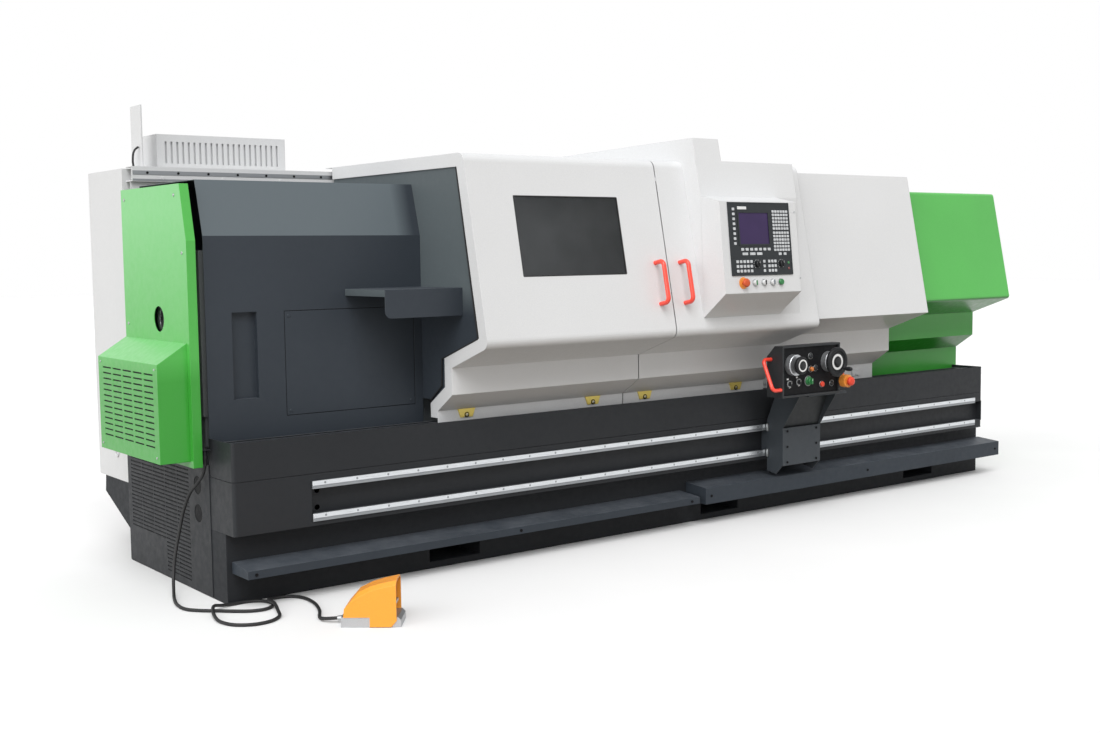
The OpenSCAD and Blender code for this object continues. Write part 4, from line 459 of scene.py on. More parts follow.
# What the part's own solids wear.
FINISH = {
    "slate": "headstock_cover bulkhead",
    "slate_skirt": "left_end_panel upper_skirt lower_skirt",
    "slate_dusty": "floor_trays",
    "base": "base_frame",
    "green": "end_guard belt_cover tail_cover tailstock",
    "white": "left_door right_door pendant_box middle_cover",
    "pale": "electrical_cabinet rear_wall cabinet_door",
    "carriage": "control_carriage",
    "carriage_box": "control_box",
    "orange": "pedal_hood",
    "red_tube": "left_handle right_handle control_handles",
    "iron": "headstock_housing main_motor jaw_1 jaw_2 jaw_3 saddle tool_turret",
    "bed": "bed",
    "steel": "spindle chuck input_shaft motor_pulley feed_screw cross_slide quill",
    "rail_low": "guide_rails",
    "rollers": "left_rollers right_rollers",
    "wheel": "left_handwheel right_handwheel",
    "alloy": "pedal_base pedal_treadle",
    "rubber": "drive_belt pedal_cord",
    "glass": "window_glass",
    "panel": "cnc_panel",
    "black": "feed_knob speed_knob left_selector right_selector",
    "red": "control_estop red_button",
    "estop_dull": "pendant_estop",
    "amber": "orange_button",
    "green_key": "start_button green_selector",
}
for key, names in FINISH.items():
    for name in names.split():
        mesh = NODES[name].data
        mesh.materials.clear()
        mesh.materials.append(MATERIALS[key])


# ---------------------------------------------------------------- mesh helpers
def add_piece(name, bm, mat, body, smooth=True, bevel=0.0):
    """Turns a bmesh in frame coordinates into a piece that rides on a body; bevel in metres."""
    mesh = bpy.data.meshes.new(name)
    bmesh.ops.recalc_face_normals(bm, faces=bm.faces)
    bm.to_mesh(mesh)
    bm.free()
    obj = bpy.data.objects.new(name, mesh)
    scene.collection.objects.link(obj)
    mesh.materials.append(MATERIALS[mat])
    if bevel:
        mod = obj.modifiers.new("edges", "BEVEL")
        mod.width = bevel
        mod.segments = 3
        mod.limit_method = "ANGLE"
        mod.angle_limit = math.radians(40)
    if smooth:
        for p in mesh.polygons:
            p.use_smooth = True
        mod = obj.modifiers.new("normals", "WEIGHTED_NORMAL")
        mod.keep_sharp = True
    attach(obj, body)


def add_loop(bm, m, outline, z):
    """Adds the points of an outline at one height of the frame m, in mm, and returns them."""
    return [bm.verts.new(m @ Vector((x / 1000, y / 1000, z / 1000))) for x, y in outline]


def add_walls(bm, a, b):
    """Adds the faces between two closed loops with the same number of points."""
    n = len(a)
    for k in range(n):
        j = (k + 1) % n
        bm.faces.new((a[k], a[j], b[j], b[k]))


def add_prism(bm, m, outline, z0, z1):
    """Adds a straight prism over a closed outline in the frame m; outline and heights in mm."""
    low = add_loop(bm, m, outline, z0)
    top = add_loop(bm, m, outline, z1)
    bm.faces.new(low[::-1])
    bm.faces.new(top)
    add_walls(bm, low, top)


def add_frame(bm, m, outer, inner, z0, z1):
    """Adds a flat ring between two outlines with the same number of points."""
    corners = ((outer, z0), (outer, z1), (inner, z1), (inner, z0))
    loops = [add_loop(bm, m, outline, z) for outline, z in corners]
    for i in range(4):
        add_walls(bm, loops[i], loops[(i + 1) % 4])


def add_lathe(bm, m, profile, n=40):
    """Adds a turned form: profile is (radius, height) in mm from axis to axis or as a closed ring."""
    loops = []
    for r, z in profile:
        if r:
            loops.append(add_loop(bm, m, circle(r, n), z))
        else:
            loops.append(add_loop(bm, m, [(0, 0)], z))
    for a, b in zip(loops, loops[1:]):
        if len(a) > 1 and len(b) > 1:
            add_walls(bm, a, b)
            continue
        for k in range(n):
            j = (k + 1) % n
            if len(a) == 1:
                bm.faces.new((a[0], b[k], b[j]))
            else:
                bm.faces.new((a[k], a[j], b[0]))


def add_screw(bm, m, r, h):
    """A cap screw with a hexagon socket."""
    rim = [(r, -0.5), (r, h - 0.6), (r - 0.6, h)]
    socket = [(r * 0.55, h), (r * 0.5, h * 0.35), (0, h * 0.35)]
    add_lathe(bm, m, rim + socket, 20)


def spaced(start, pitch, count):
    """So many numbers from start on, a pitch apart."""
    return [start + pitch * i for i in range(count)]


def rect(x0, y0, x1, y1):
    """The outline of a rectangle between two corners."""
    return [(x0, y0), (x1, y0), (x1, y1), (x0, y1)]


def round_rect(w, h, r, cx=0.0, cy=0.0, n=4):
    """The outline of a rectangle about a centre, each corner rounded in n steps."""
    pts = []
    for sx, sy, start in ((1, 1, 0), (-1, 1, 90), (-1, -1, 180), (1, -1, 270)):
        for k in range(n + 1):
            a = math.radians(start + 90 * k / n)
            pts.append((cx + sx * (w / 2 - r) + r * math.cos(a), cy + sy * (h / 2 - r) + r * math.sin(a)))
    return pts


def circle(r, n):
    """The outline of a circle in n steps."""
    turn = [2 * math.pi * k / n for k in range(n)]
    return [(r * math.cos(a), r * math.sin(a)) for a in turn]


def arc_band(r0, r1, start, end, n=14):
    """The outline of a curved stripe between two radii, angles in degrees."""
    turn = [math.radians(start + (end - start) * k / n) for k in range(n + 1)]
    outer = [(r1 * math.cos(a), r1 * math.sin(a)) for a in turn]
    inner = [(r0 * math.cos(a), r0 * math.sin(a)) for a in turn]
    return outer + inner[::-1]


def sweep(name, points, radius, mat, body, poly=False):
    """A round bar or hose along points in mm, straight from point to point or smooth through them."""
    curve = bpy.data.curves.new(name, "CURVE")
    curve.dimensions = "3D"
    curve.bevel_depth = radius / 1000
    curve.bevel_resolution = 4
    curve.resolution_u = 8
    curve.use_fill_caps = True
    if poly:
        sp = curve.splines.new("POLY")
        sp.points.add(len(points) - 1)
        for p, co in zip(sp.points, points):
            p.co = (*at(*co), 1)
    else:
        sp = curve.splines.new("BEZIER")
        sp.bezier_points.add(len(points) - 1)
        for p, co in zip(sp.bezier_points, points):
            p.co = at(*co)
            p.handle_left_type = p.handle_right_type = "AUTO"
    obj = bpy.data.objects.new(name, curve)
    scene.collection.objects.link(obj)
    curve.materials.append(MATERIALS[mat])
    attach(obj, body)
    return obj


# ---------------------------------------------------------------- pedal cable
CORD_R = 7
CORD_EXIT = (-22, 222, 613)
ROUTE = [
    CORD_EXIT, (-22, 222, 585), (-23, 231, 552), (-25, 253, 522), (-31, 294, 486), (-42, 344, 442),
    (-54, 388, 366), (-70, 410, 266), (-88, 418, 168), (-104, 404, 92), (-122, 364, 34), (-146, 298, 7),
    (-170, 210, 7), (-172, 122, 7), (-132, 56, 7), (-78, 6, 7), (-26, -46, 7), (26, -85, 7),
    (80, -95, 7), (127, -67, 7), (146, -16, 7), (127, 35, 7), (80, 63, 7), (22, 66, 7),
    (-38, 54, 13), (-84, 26, 25), (-112, -18, 24), (-130, -74, 13), (-140, -150, 7), (-120, -226, 7),
    (-60, -274, 7), (14, -276, 7), (76, -232, 7), (106, -160, 11), (122, -96, 25), (130, -38, 22),
    (152, 18, 14), (208, 42, 7), (264, 18, 7), (287, -38, 7), (286, -108, 7), (270, -182, 7),
    (242, -258, 7), (208, -322, 7), (192, -356, 8), (187, -392, 12), (197, -423, 17), (221.5, -447.3, 20)]
GLAND = [(0, -2), (10, -2), (12, 2), (12, 12), (10, 14), (9.5, 32), (7.6, 42), (7.2, 42), (0, 42)]


def curve_points(route, steps=6):
    """A smooth line through the route's points that never sinks into the floor."""
    pts = [Vector(p) for p in route]
    out = []
    for i in range(len(pts) - 1):
        a, b, c, d = pts[max(i - 1, 0)], pts[i], pts[i + 1], pts[min(i + 2, len(pts) - 1)]
        for k in range(steps):
            t = k / steps
            out.append(0.5 * (2 * b + (c - a) * t + (2 * a - 5 * b + 4 * c - d) * t * t
                              + (3 * b - a - 3 * c + d) * t ** 3))
    out.append(pts[-1])
    return [Vector((p.x, p.y, max(p.z, CORD_R))) for p in out]


def make_cable():
    pts = curve_points(ROUTE)
    cable = sweep("pedal_cable", pts, CORD_R, "rubber", "machine", poly=True)
    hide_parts("pedal_cord")
    bm = bmesh.new()
    down = Matrix.Translation(at(*CORD_EXIT)) @ Matrix.Rotation(math.pi, 4, "X")
    add_lathe(bm, down, GLAND, 24)
    add_piece("cable_gland", bm, "rubber", "machine")


# ---------------------------------------------------------------- operator panel
# Places on the panel are (u, v) in millimetres from its lower left corner.
PANEL_SIZE = (430, 359)
PANEL_CENTRE = (PANEL_SIZE[0] / 2, PANEL_SIZE[1] / 2)
SCREEN_SIZE = (206, 155)
SCREEN_CENTRE = (172, 230.5)
# The height of the face that the keys and lamps stand on.
KEY_FACE = 4
# Each knob's place along u and the angles of its ticks; the lamps' places.
KNOB_V = 55
KNOBS = {"feed_knob": 176, "speed_knob": 347}
KNOB_TICKS = spaced(140, -28, 11)
LAMP_U = 402
LAMPS = {"lamp_green": 59, "lamp_red": 31}
# Blocks of keys: the places along u, the places along v, and a key's width and height.
KEY_BLOCKS = (
    ([35], spaced(157, 24, 8), 15, 12),
    (spaced(312, 19.5, 6), spaced(124, 17, 6), 14, 11),
    (spaced(312, 19.5, 6), spaced(230, 17, 6), 14, 11),
    (spaced(82, 31, 7), [128], 18, 12),
    ([98, 150, 198], [106], 36, 12),
    ([345, 380], [104], 18, 12),
    (spaced(41, 24, 5), [22, 45, 68], 15, 13),
    ([227, 262, 284, 306], [22, 45, 68], 14, 13))


def around(size, centre, grow, r):
    """A rounded rectangle larger than size by grow, about a centre on the panel."""
    return round_rect(size[0] + grow, size[1] + grow, r, *centre)


def make_panel_keys():
    bm = bmesh.new()
    for us, vs, w, h in KEY_BLOCKS:
        for u in us:
            for v in vs:
                add_prism(bm, on_panel(u, v, KEY_FACE), round_rect(w + 1, h + 1, 2, n=2), 0.1, 2.4)
    add_piece("panel_keys", bm, "key", "right_door", bevel=0.0005)


def make_panel_screen():
    bm = bmesh.new()
    add_prism(bm, on_panel(0, 0), around(SCREEN_SIZE, SCREEN_CENTRE, 0, 3), 2.1, 2.6)
    add_piece("panel_screen", bm, "screen", "right_door", smooth=False)


def make_panel_bezel():
    """The screen's frame, the rim round the panel and the bar under the screen."""
    bm = bmesh.new()
    screen_rim = around(SCREEN_SIZE, SCREEN_CENTRE, 16, 5)
    add_frame(bm, on_panel(0, 0), screen_rim, around(SCREEN_SIZE, SCREEN_CENTRE, -1, 3), 3.5, 6.5)
    panel_rim = around(PANEL_SIZE, PANEL_CENTRE, 0, 4)
    add_frame(bm, on_panel(0, 0), panel_rim, around(PANEL_SIZE, PANEL_CENTRE, -8, 3), 3.5, 5.5)
    add_prism(bm, on_panel(0, 0), round_rect(PANEL_SIZE[0] - 6, 2.5, 1, PANEL_CENTRE[0], 90), 3.8, 4.8)
    add_piece("panel_bezel", bm, "panel", "right_door", bevel=0.0006)


def make_panel_marks():
    """The blank name strip and the ticks round the two knobs."""
    bm = bmesh.new()
    add_prism(bm, on_panel(0, 0), round_rect(62, 14, 1, 96, 331), 3.9, 5.0)
    for u in KNOBS.values():
        for angle in KNOB_TICKS:
            turn = Matrix.Rotation(math.radians(angle), 4, "Z")
            add_prism(bm, on_panel(u, KNOB_V) @ turn, round_rect(1.4, 5, 0.3, 0, 21, 1), 3.9, 4.4)
    add_piece("panel_marks", bm, "ink", "right_door", smooth=False)


def make_panel_lamps():
    for name, v in LAMPS.items():
        bm = bmesh.new()
        dome = [(0, -0.5), (7, -0.5), (7, 1.5), (5.5, 2.5), (5, 3.5), (3, 4.6), (0, 5)]
        add_lathe(bm, on_panel(LAMP_U, v, KEY_FACE), dome, 24)
        add_piece("panel_" + name, bm, name, "right_door")


def make_knob_lines():
    for body, u in KNOBS.items():
        bm = bmesh.new()
        add_prism(bm, on_panel(u, KNOB_V), round_rect(1.6, 11, 0.4, 0, 8, 1), 25.0, 25.8)
        add_piece(body + "_line", bm, "ink", body, smooth=False)


# ---------------------------------------------------------------- buttons under the panel
BUTTON_Z = 1282
# Each silver switch's place along X and its lever's material.
SWITCHES = {2560: "green_key", 2624: "black", 2685: "key_dark"}
ESTOP_X = 2480
START_X = 2742


def make_button_bezels():
    bm = bmesh.new()
    for x in SWITCHES:
        ring = [(15.5, 0.2), (17, 0.2), (17, 3), (15.8, 4.2), (14.2, 4.2), (14.2, 0.2)]
        add_lathe(bm, on_pendant(x, BUTTON_Z), ring, 36)
    start_ring = [(15.6, 0.2), (17.5, 0.2), (17.5, 3.2), (16.6, 4), (15.6, 4)]
    add_lathe(bm, on_pendant(START_X, BUTTON_Z), start_ring, 36)
    add_piece("button_bezels", bm, "zinc", "right_door")


def make_switch_levers():
    for i, (x, key) in enumerate(SWITCHES.items()):
        bm = bmesh.new()
        add_prism(bm, on_pendant(x, BUTTON_Z), round_rect(5, 24, 2), 13.9, 19)
        add_piece(f"switch_lever_{i}", bm, key, "right_door", bevel=0.001)


def make_estop_plate():
    bm = bmesh.new()
    plate = [(9, 0.2), (29, 0.2), (29, 1.2), (28.4, 1.8), (9, 1.8), (9, 0.2)]
    add_lathe(bm, on_pendant(ESTOP_X, BUTTON_Z), plate, 48)
    add_piece("pendant_estop_plate", bm, "yellow", "right_door")


def make_pendant_screws():
    bm = bmesh.new()
    for x, z in ((2878, 1630), (2890, 1298)):
        add_screw(bm, on_pendant(x, z), 5, 3)
    add_piece("pendant_screws", bm, "zinc", "right_door")


# ---------------------------------------------------------------- control box
# Places on the box are (dx, dz) in millimetres from its lower left corner.
BOX_SIZE = (445, 269)
BOX_CENTRE = (BOX_SIZE[0] / 2, BOX_SIZE[1] / 2)
BOX_PLATE = (BOX_SIZE[0] - 23, BOX_SIZE[1] - 23)
SELECTORS = {"left_selector": (62, 71), "right_selector": (131, 77)}
GREEN_SELECTOR = (205, 78)
BOX_ESTOP = (470, 62)
BOX_BUTTONS = ((223, 208), (262, 142), (390, 54), (310, 54), (225, 139))
# The handwheels' dial drums, the lines round them and the ribs round the wheels.
DRUM_R, DRUM_H = 55.1, 30
DIAL_LINES = 40
GRIP_RIBS = 24


def make_box_plate():
    """The black plate of the box's face and the thin rim round it."""
    bm = bmesh.new()
    w, h = BOX_PLATE
    rim = round_rect(w + 2.6, h + 2.6, 2)
    add_frame(bm, on_box(*BOX_CENTRE), rim, round_rect(w - 4, h - 4, 2), 0.1, 2.2)
    add_prism(bm, on_box(*BOX_CENTRE), round_rect(w, h, 2), 0.05, 0.4)
    add_piece("box_plate", bm, "inner_black", "control_carriage", bevel=0.0006)


def make_wheel_ring(body, m, r0, r1, z):
    bm = bmesh.new()
    add_lathe(bm, m, [(r0, z), (r1, z), (r1, z + 0.9), (r0, z + 0.9), (r0, z)], 48)
    add_piece(body + "_ring", bm, "ink", body, smooth=False)


def make_wheel_dial(body, m):
    """The graduation round the dial's drum, every fifth line longer."""
    bm = bmesh.new()
    on_drum = Matrix.Translation((0, DRUM_R / 1000, DRUM_H / 1000)) @ Matrix.Rotation(-math.pi / 2, 4, "X")
    for k in range(DIAL_LINES):
        turn = Matrix.Rotation(math.radians(360 / DIAL_LINES * k), 4, "Z")
        line = 10 if k % 5 == 0 else 6
        add_prism(bm, m @ turn @ on_drum, round_rect(1.0, line, 0.2, 0, line / 2 - 2, 1), -0.2, 0.35)
    add_piece(body + "_dial", bm, "black", body, smooth=False)


def make_wheel_grip(body, m, wheel_r):
    """The cap in the wheel's middle and the ribs round its rim."""
    bm = bmesh.new()
    add_lathe(bm, m, [(0, 73.9), (16, 73.9), (20, 74.4), (20, 76), (15, 78.5), (0, 79)], 36)
    on_rim = Matrix.Translation((0, (wheel_r - 0.4) / 1000, 0))
    for k in range(GRIP_RIBS):
        turn = Matrix.Rotation(math.radians(360 / GRIP_RIBS * k), 4, "Z")
        add_prism(bm, m @ turn @ on_rim, round_rect(5, 2.4, 1.1, 0, 0, 2), 58, 68)
    add_piece(body + "_grip", bm, "black", body, bevel=0.0006)


def make_wheel(body, place, wheel_r, ring, ring_z):
    m = on_box(*place)
    make_wheel_ring(body, m, *ring, ring_z)
    make_wheel_dial(body, m)
    make_wheel_grip(body, m, wheel_r)


def make_box_estop_collar():
    bm = bmesh.new()
    inside = [(7, 49.1), (33.4, 49.1), (33.4, 13)]
    outside = [(34.2, 13), (34.2, 49), (32.8, 50.6), (7, 50.6), (7, 49.1)]
    add_lathe(bm, on_box(*BOX_ESTOP), inside + outside, 48)
    add_piece("box_estop_collar", bm, "yellow", "control_carriage")


def make_box_bezels():
    bm = bmesh.new()
    for place in SELECTORS.values():
        ring = [(12.4, 1.4), (17, 1.4), (17, 4), (16, 5), (13.2, 5), (12.4, 4.2), (12.4, 1.4)]
        add_lathe(bm, on_box(*place), ring, 32)
    wide_ring = [(24, 0.1), (27.5, 0.1), (27.5, 3), (26.5, 4), (24, 4), (24, 0.1)]
    add_lathe(bm, on_box(*GREEN_SELECTOR), wide_ring, 40)
    for place in BOX_BUTTONS:
        ring = [(14.8, 0.1), (17, 0.1), (17, 3), (16, 4), (14.8, 4), (14.8, 0.1)]
        add_lathe(bm, on_box(*place), ring, 32)
    add_piece("box_bezels", bm, "zinc", "control_carriage")


def make_box_label_blanks():
    """A blank arc and a blank tag by each of the two selectors."""
    bm = bmesh.new()
    for dx, dz in SELECTORS.values():
        add_prism(bm, on_box(dx, dz), arc_band(19, 22.5, -95, 35), 0.2, 1.0)
        add_prism(bm, on_box(dx - 12, dz + 25), round_rect(14, 8, 1.5), 0.2, 1.0)
    add_piece("box_label_blanks", bm, "ink", "control_carriage", smooth=False)


def make_selector_mark(body, place, z):
    bm = bmesh.new()
    add_prism(bm, on_box(*place), round_rect(2, 10, 0.5, 0, 6, 1), z, z + 0.7)
    add_piece(body + "_mark", bm, "ink", body, smooth=False)


def make_selector_marks():
    for body, place in SELECTORS.items():
        make_selector_mark(body, place, 17.8)
    make_selector_mark("green_selector", GREEN_SELECTOR, 34.0)


# ---------------------------------------------------------------- sheet details
# The left door's window, and the black strip of painted shade down the door's left edge, in the gap to the
# bulkhead, in (y, z).
WINDOW_X, WINDOW_W = 1293, 604
WINDOW_Z, WINDOW_H = 1338, 360
GAP_SHADE_X = 1049
GAP_SHADE_LINE = [(-99, 1822), (-247, 1076), (-249, 1070), (44, 966), (48, 843), (150, 766)]
# The two front rails, from RAILS_Z up. Each has a ground strip, its middle STRIP_UP above the rail's
# foot, with a row of screws, and the carriage's wipers run on them.
RAIL_X, RAIL_L = 355, 4665
RAIL_FRONT = -8
RAILS_Z = (318, 458)
RAIL_H = 34
STRIP_UP = 23.6
STRIP_W = 19.6
RAIL_SCREWS = spaced(RAIL_X + 60, 155, 30)
WIPERS_X = (3113.5, 3426.5)
WIPER_Y = -19
# The top rail's strips, each from one height to another and proud of the rail, and its bolts.
TOP_RAIL_Y = 1050
TOP_RAIL_X = (25, 5090)
TOP_STRIPS = ((1798, 1808, 0.6), (1826, 1846, 1.4))
TOP_BOLTS = spaced(95, 150, 34)
TOP_BOLT_Z = 1836
# Fronts of the foot trays and of the carriage's plate, and the trays' bolts in (x, z).
TRAY_FRONT = -68
TRAY_BOLTS = ((60, 147), (1400, 147), (2500, 147), (2640, 160), (3900, 160), (5150, 160))
CARRIAGE_FRONT = -128
# The doors' rollers, and what shows at their ends: name, material, slot, radius and height.
ROLLERS = {"left_door": (1205, 1964), "right_door": (2310, 2970)}
ROLLER_FACE = 80
ROLLER_Z = 697
ROLLER_ENDS = (("hub", "inner_black", "black_plastic", 13, 1.6), ("bolt", "zinc", "steel", 6, 3.4))
# The access panel in the headstock cover's front.
ACCESS_X, ACCESS_W = 359, 655
ACCESS_Z, ACCESS_H = 750, 457
COVER_Y = 220
# The left end panel: the plane inside its sheet, and its holes.
END_PANEL_INSIDE_X = -1
SERVICE_HOLES = ((355, 348), (355, 470))
DRAIN_HOLES_Y = 1118
DRAIN_HOLES_Z = spaced(61, 20, 4)
# Where the aerial lead leaves its gland.
AERIAL_X, AERIAL_Y, AERIAL_Z = 70, 1150, 1857


def make_window():
    bm = bmesh.new()
    m = on_face(WINDOW_X + WINDOW_W / 2, WINDOW_Z + WINDOW_H / 2)
    w, h = WINDOW_W, WINDOW_H / math.cos(FACE_TILT)
    add_frame(bm, m, round_rect(w + 5, h + 5, 5), round_rect(w - 5, h - 5, 4), -8, 1.0)
    add_piece("window_gasket", bm, "rubber", "left_door", bevel=0.0012)


def make_gap_shade():
    """Painted shade in the gap between the left door's edge and the bulkhead: a black rubber strip along
    each straight of the edge.
    """
    bm = bmesh.new()
    for (y0, z0), (y1, z1) in zip(GAP_SHADE_LINE, GAP_SHADE_LINE[1:]):
        d = Vector((0, y1 - y0, z1 - z0))
        along = (d.y / d.length, d.z / d.length)
        turn = Matrix(((0, 0, 1), (along[0], -along[1], 0), (along[1], along[0], 0))).to_4x4()
        m = Matrix.Translation(at(GAP_SHADE_X, y0, z0)) @ turn
        add_prism(bm, m, rect(-1, -2, d.length + 1, 4), -1, 4)
    add_piece("door_gap_shade", bm, "rubber", "left_door", bevel=0.0008)


def make_rail_strips():
    """The ground face along each front rail."""
    bm = bmesh.new()
    for z in RAILS_Z:
        m = facing_front(RAIL_X + RAIL_L / 2, RAIL_FRONT, z + STRIP_UP)
        add_prism(bm, m, round_rect(RAIL_L - 1, STRIP_W, 1.2), -0.5, 0.35)
    add_piece("rail_strips", bm, "rail", "machine", bevel=0.0002)


def make_rail_screws():
    bm = bmesh.new()
    for z in RAILS_Z:
        for x in RAIL_SCREWS:
            m = facing_front(x, RAIL_FRONT - 0.3, z + STRIP_UP)
            add_lathe(bm, m, [(5.2, 0), (5.2, 0.08), (5.0, 0.15), (2.6, 0.15), (2.2, 0.06), (0, 0.06)], 16)
    add_piece("rail_screws", bm, "zinc", "machine")


def make_rail_wipers():
    bm = bmesh.new()
    for x in WIPERS_X:
        for z in RAILS_Z:
            add_prism(bm, facing_front(x, WIPER_Y, z + RAIL_H / 2), round_rect(12, 42, 2), -7, 7)
    add_piece("rail_wipers", bm, "zinc", "control_carriage", bevel=0.0015)


def make_top_rail():
    """The two ground strips and the bolts along the rail that guides the doors' tops."""
    bm = bmesh.new()
    start, end = TOP_RAIL_X
    for z0, z1, h in TOP_STRIPS:
        add_prism(bm, facing_front(0, TOP_RAIL_Y, 0), rect(start, z0, end, z1), -0.5, h)
    add_piece("top_rail_strip", bm, "rail_low", "machine", bevel=0.0005)
    bm = bmesh.new()
    for x in TOP_BOLTS:
        add_screw(bm, facing_front(x, TOP_RAIL_Y - 1.3, TOP_BOLT_Z), 6, 2.4)
    add_piece("top_rail_bolts", bm, "inner_black", "machine")


def make_tray_bolts():
    bm = bmesh.new()
    for x, z in TRAY_BOLTS:
        add_screw(bm, facing_front(x, TRAY_FRONT, z), 7, 4)
    add_piece("tray_bolts", bm, "inner_black", "machine")


def make_guard_screws():
    """The screws of the green guard's face and of the belt cover's corners."""
    bm = bmesh.new()
    for y, z in ((235, 1460), (235, 700), (870, 1700), (870, 1150), (300, 1700)):
        add_screw(bm, facing_left(GUARD_X, y, z), 7, 3)
    for y in (250, 885):
        for z in (620, 985):
            add_screw(bm, facing_left(BELT_COVER_X, y, z), 5, 3)
    add_piece("guard_screws", bm, "zinc", "machine")


def make_carriage_screws():
    bm = bmesh.new()
    for x in (3154, 3386):
        for z in (290, 375, 460):
            add_screw(bm, facing_front(x, CARRIAGE_FRONT, z), 6.4, 3)
    add_piece("carriage_screws", bm, "inner_black", "control_carriage")


def make_roller_bolts():
    """The dark wheel end and its bolt that show in each bracket's notch."""
    for body, places in ROLLERS.items():
        for name, mat, slot, r, h in ROLLER_ENDS:
            bm = bmesh.new()
            for x in places:
                end = [(0, -0.4), (r, -0.4), (r, h - 0.6), (r - 0.6, h), (0, h)]
                add_lathe(bm, facing_front(x, ROLLER_FACE, ROLLER_Z), end, 24)
            add_piece(f"{body}_roller_{name}", bm, mat, body)


def make_access_seam():
    """The shadow line in the groove round the access panel."""
    bm = bmesh.new()
    m = tilted(at(ACCESS_X + ACCESS_W / 2, COVER_Y, ACCESS_Z + ACCESS_H / 2), 0)
    outer = round_rect(ACCESS_W - 0.4, ACCESS_H - 0.4, 0.3)
    inner = round_rect(ACCESS_W - 5.6, ACCESS_H - 5.6, 0.3)
    add_frame(bm, m, outer, inner, -1.4, -0.4)
    add_piece("access_panel_seam", bm, "inner_black", "machine", smooth=False)


def make_louvre_shade():
    """Black sheets of painted shade behind the louvres of the end panel and the belt cover, and the seal of
    the skirt's seam.
    """
    bm = bmesh.new()
    across_x = Matrix(((0, 0, 1), (1, 0, 0), (0, 1, 0))).to_4x4()
    in_end_panel = Matrix.Translation(at(END_PANEL_INSIDE_X, 0, 0)) @ across_x
    add_prism(bm, in_end_panel, rect(440, 22, 1150, 560), 0, 0.8)
    in_belt_cover = Matrix.Translation(at(BELT_COVER_X + BEHIND_SHEET, 0, 0)) @ across_x
    add_prism(bm, in_belt_cover, rect(250, 630, 890, 990), 0, 0.8)
    add_prism(bm, facing_front(0, BEHIND_SHEET, 0), rect(20, 513, 5080, 529), -1.5, 0)
    add_piece("louvre_shade_and_seam_seal", bm, "inner_black", "machine", smooth=False)


def make_end_panel_blanks():
    """Black discs in the end panel's two service holes and four drain holes."""
    bm = bmesh.new()
    for y, z in SERVICE_HOLES:
        disc = [(0, -0.8), (39.6, -0.8), (39.6, 0.6), (0, 0.6)]
        add_lathe(bm, facing_left(END_PANEL_INSIDE_X, y, z), disc, 40)
    for z in DRAIN_HOLES_Z:
        disc = [(0, -0.5), (5, -0.5), (5, 0.3), (0, 0.3)]
        add_lathe(bm, facing_left(END_PANEL_INSIDE_X - 1, DRAIN_HOLES_Y, z), disc, 16)
    add_piece("end_panel_blanks", bm, "inner_black", "machine", smooth=False)


def make_aerial():
    """The lead at the top of the cabinet's upright and its gland."""
    rise = ((0, 2), (-4, 43), (6, 88), (25, 105))
    lead = [(AERIAL_X + dx, AERIAL_Y, AERIAL_Z + dz) for dx, dz in rise]
    sweep("aerial_lead", lead, 5, "rubber", "machine")
    bm = bmesh.new()
    gland = [(0, -1), (9, -1), (9, 6), (7, 9), (0, 9)]
    add_lathe(bm, Matrix.Translation(at(AERIAL_X, AERIAL_Y, AERIAL_Z)), gland, 20)
    add_piece("aerial_gland", bm, "rubber", "machine")


make_cable()
make_panel_keys()
make_panel_screen()
make_panel_bezel()
make_panel_marks()
make_panel_lamps()
make_knob_lines()
make_button_bezels()
make_switch_levers()
make_estop_plate()
make_pendant_screws()
make_box_plate()
make_wheel("left_handwheel", (84, 169), wheel_r=46, ring=(24, 32), ring_z=73.9)
make_wheel("right_handwheel", (360, 172), wheel_r=78, ring=(30, 42), ring_z=67.9)
make_box_estop_collar()
make_box_bezels()
make_box_label_blanks()
make_selector_marks()
make_window()
make_gap_shade()
make_rail_strips()
make_rail_screws()
make_rail_wipers()
make_top_rail()
make_tray_bolts()
make_guard_screws()
make_carriage_screws()
make_roller_bolts()
make_access_seam()
make_louvre_shade()
make_end_panel_blanks()
make_aerial()

# ---------------------------------------------------------------- floor and light
# The floor's half width in metres, what it looks like and how it throws light back.
FLOOR_REACH = 45
FLOOR_TONES = ((0.86, 0.86, 0.86, 1), (0.90, 0.90, 0.90, 1))
FLOOR_BOUNCE = (0.31, 0.28, 0.245, 1)
# The surroundings' strength as a light and to the eye.
ROOM_LIGHT = 0.60
ROOM_SEEN = 1.0


def seen_directly(tree):
    """1 for rays from the camera, a reflection or a window, 0 for the light that the surroundings give."""
    path = tree.nodes.new("ShaderNodeLightPath")
    total = path.outputs["Is Camera Ray"]
    for kind in ("Is Glossy Ray", "Is Transmission Ray"):
        both = tree.nodes.new("ShaderNodeMath")
        both.operation = "MAXIMUM"
        tree.links.new(total, both.inputs[0])
        tree.links.new(path.outputs[kind], both.inputs[1])
        total = both.outputs[0]
    return total


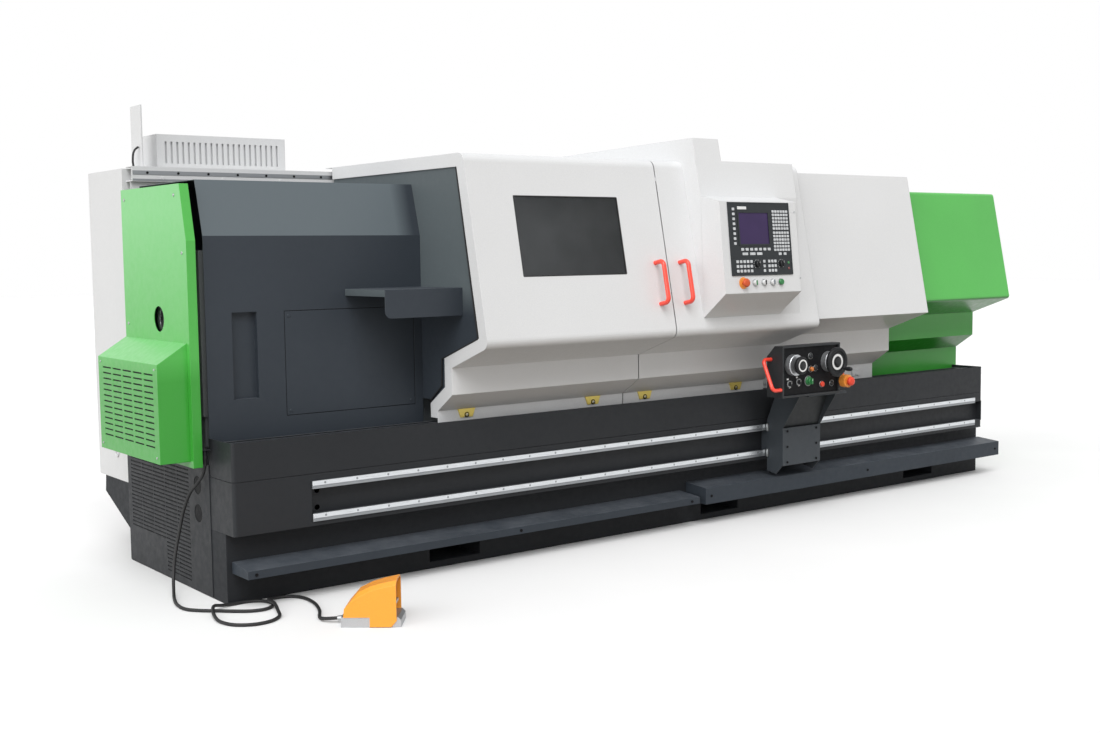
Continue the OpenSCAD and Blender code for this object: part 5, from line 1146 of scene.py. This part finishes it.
def make_stage():
    """A pale floor just under the pedal and the base, duller in the light that it throws back."""
    bm = bmesh.new()
    bmesh.ops.create_grid(bm, x_segments=2, y_segments=2, size=FLOOR_REACH)
    mesh = bpy.data.meshes.new("floor")
    bm.to_mesh(mesh)
    bm.free()
    floor = bpy.data.objects.new("floor", mesh)
    floor.location = (0, 0, -0.0005)
    scene.collection.objects.link(floor)
    s = Shader("pale_floor")
    pale = s.mix(s.ramp(s.noise(0.6, 4), 0.3, 0.7), *FLOOR_TONES)
    s.put("Base Color", s.mix(seen_directly(s.tree), FLOOR_BOUNCE, pale))
    s.put("Roughness", 0.8)
    s.put("Specular IOR Level", 0.1)
    mesh.materials.append(s.mat)


def make_room():
    """White surroundings, seen at full strength and dimmer as a light."""
    world = bpy.data.worlds.new("studio")
    scene.world = world
    world.use_nodes = True
    tree = world.node_tree
    bg = tree.nodes["Background"]
    level = tree.nodes.new("ShaderNodeMapRange")
    level.inputs["To Min"].default_value = ROOM_LIGHT
    level.inputs["To Max"].default_value = ROOM_SEEN
    tree.links.new(seen_directly(tree), level.inputs["Value"])
    tree.links.new(level.outputs[0], bg.inputs["Strength"])
    bg.inputs["Color"].default_value = (1, 1, 1, 1)


def make_sun(name, direction, strength, angle):
    light = bpy.data.lights.new(name, "SUN")
    light.energy = strength
    light.angle = math.radians(angle)
    obj = bpy.data.objects.new(name, light)
    obj.rotation_euler = Vector(direction).to_track_quat("-Z", "Y").to_euler()
    scene.collection.objects.link(obj)


def make_work_light():
    """The strip lamp inside the enclosure, over the work."""
    work = bpy.data.lights.new("work_light", "AREA")
    work.shape = "RECTANGLE"
    work.size = 1.6
    work.size_y = 0.15
    work.energy = 3
    lamp = bpy.data.objects.new("work_light", work)
    lamp.location = at(1900, 600, 1800)
    scene.collection.objects.link(lamp)


make_stage()
make_room()
make_sun("key_light", (0.35, 0.55, -0.75), strength=2.1, angle=40)
make_sun("side_light", (0.93, 0.2, -0.3), strength=1.5, angle=50)
make_work_light()
scene.view_settings.view_transform = "Standard"
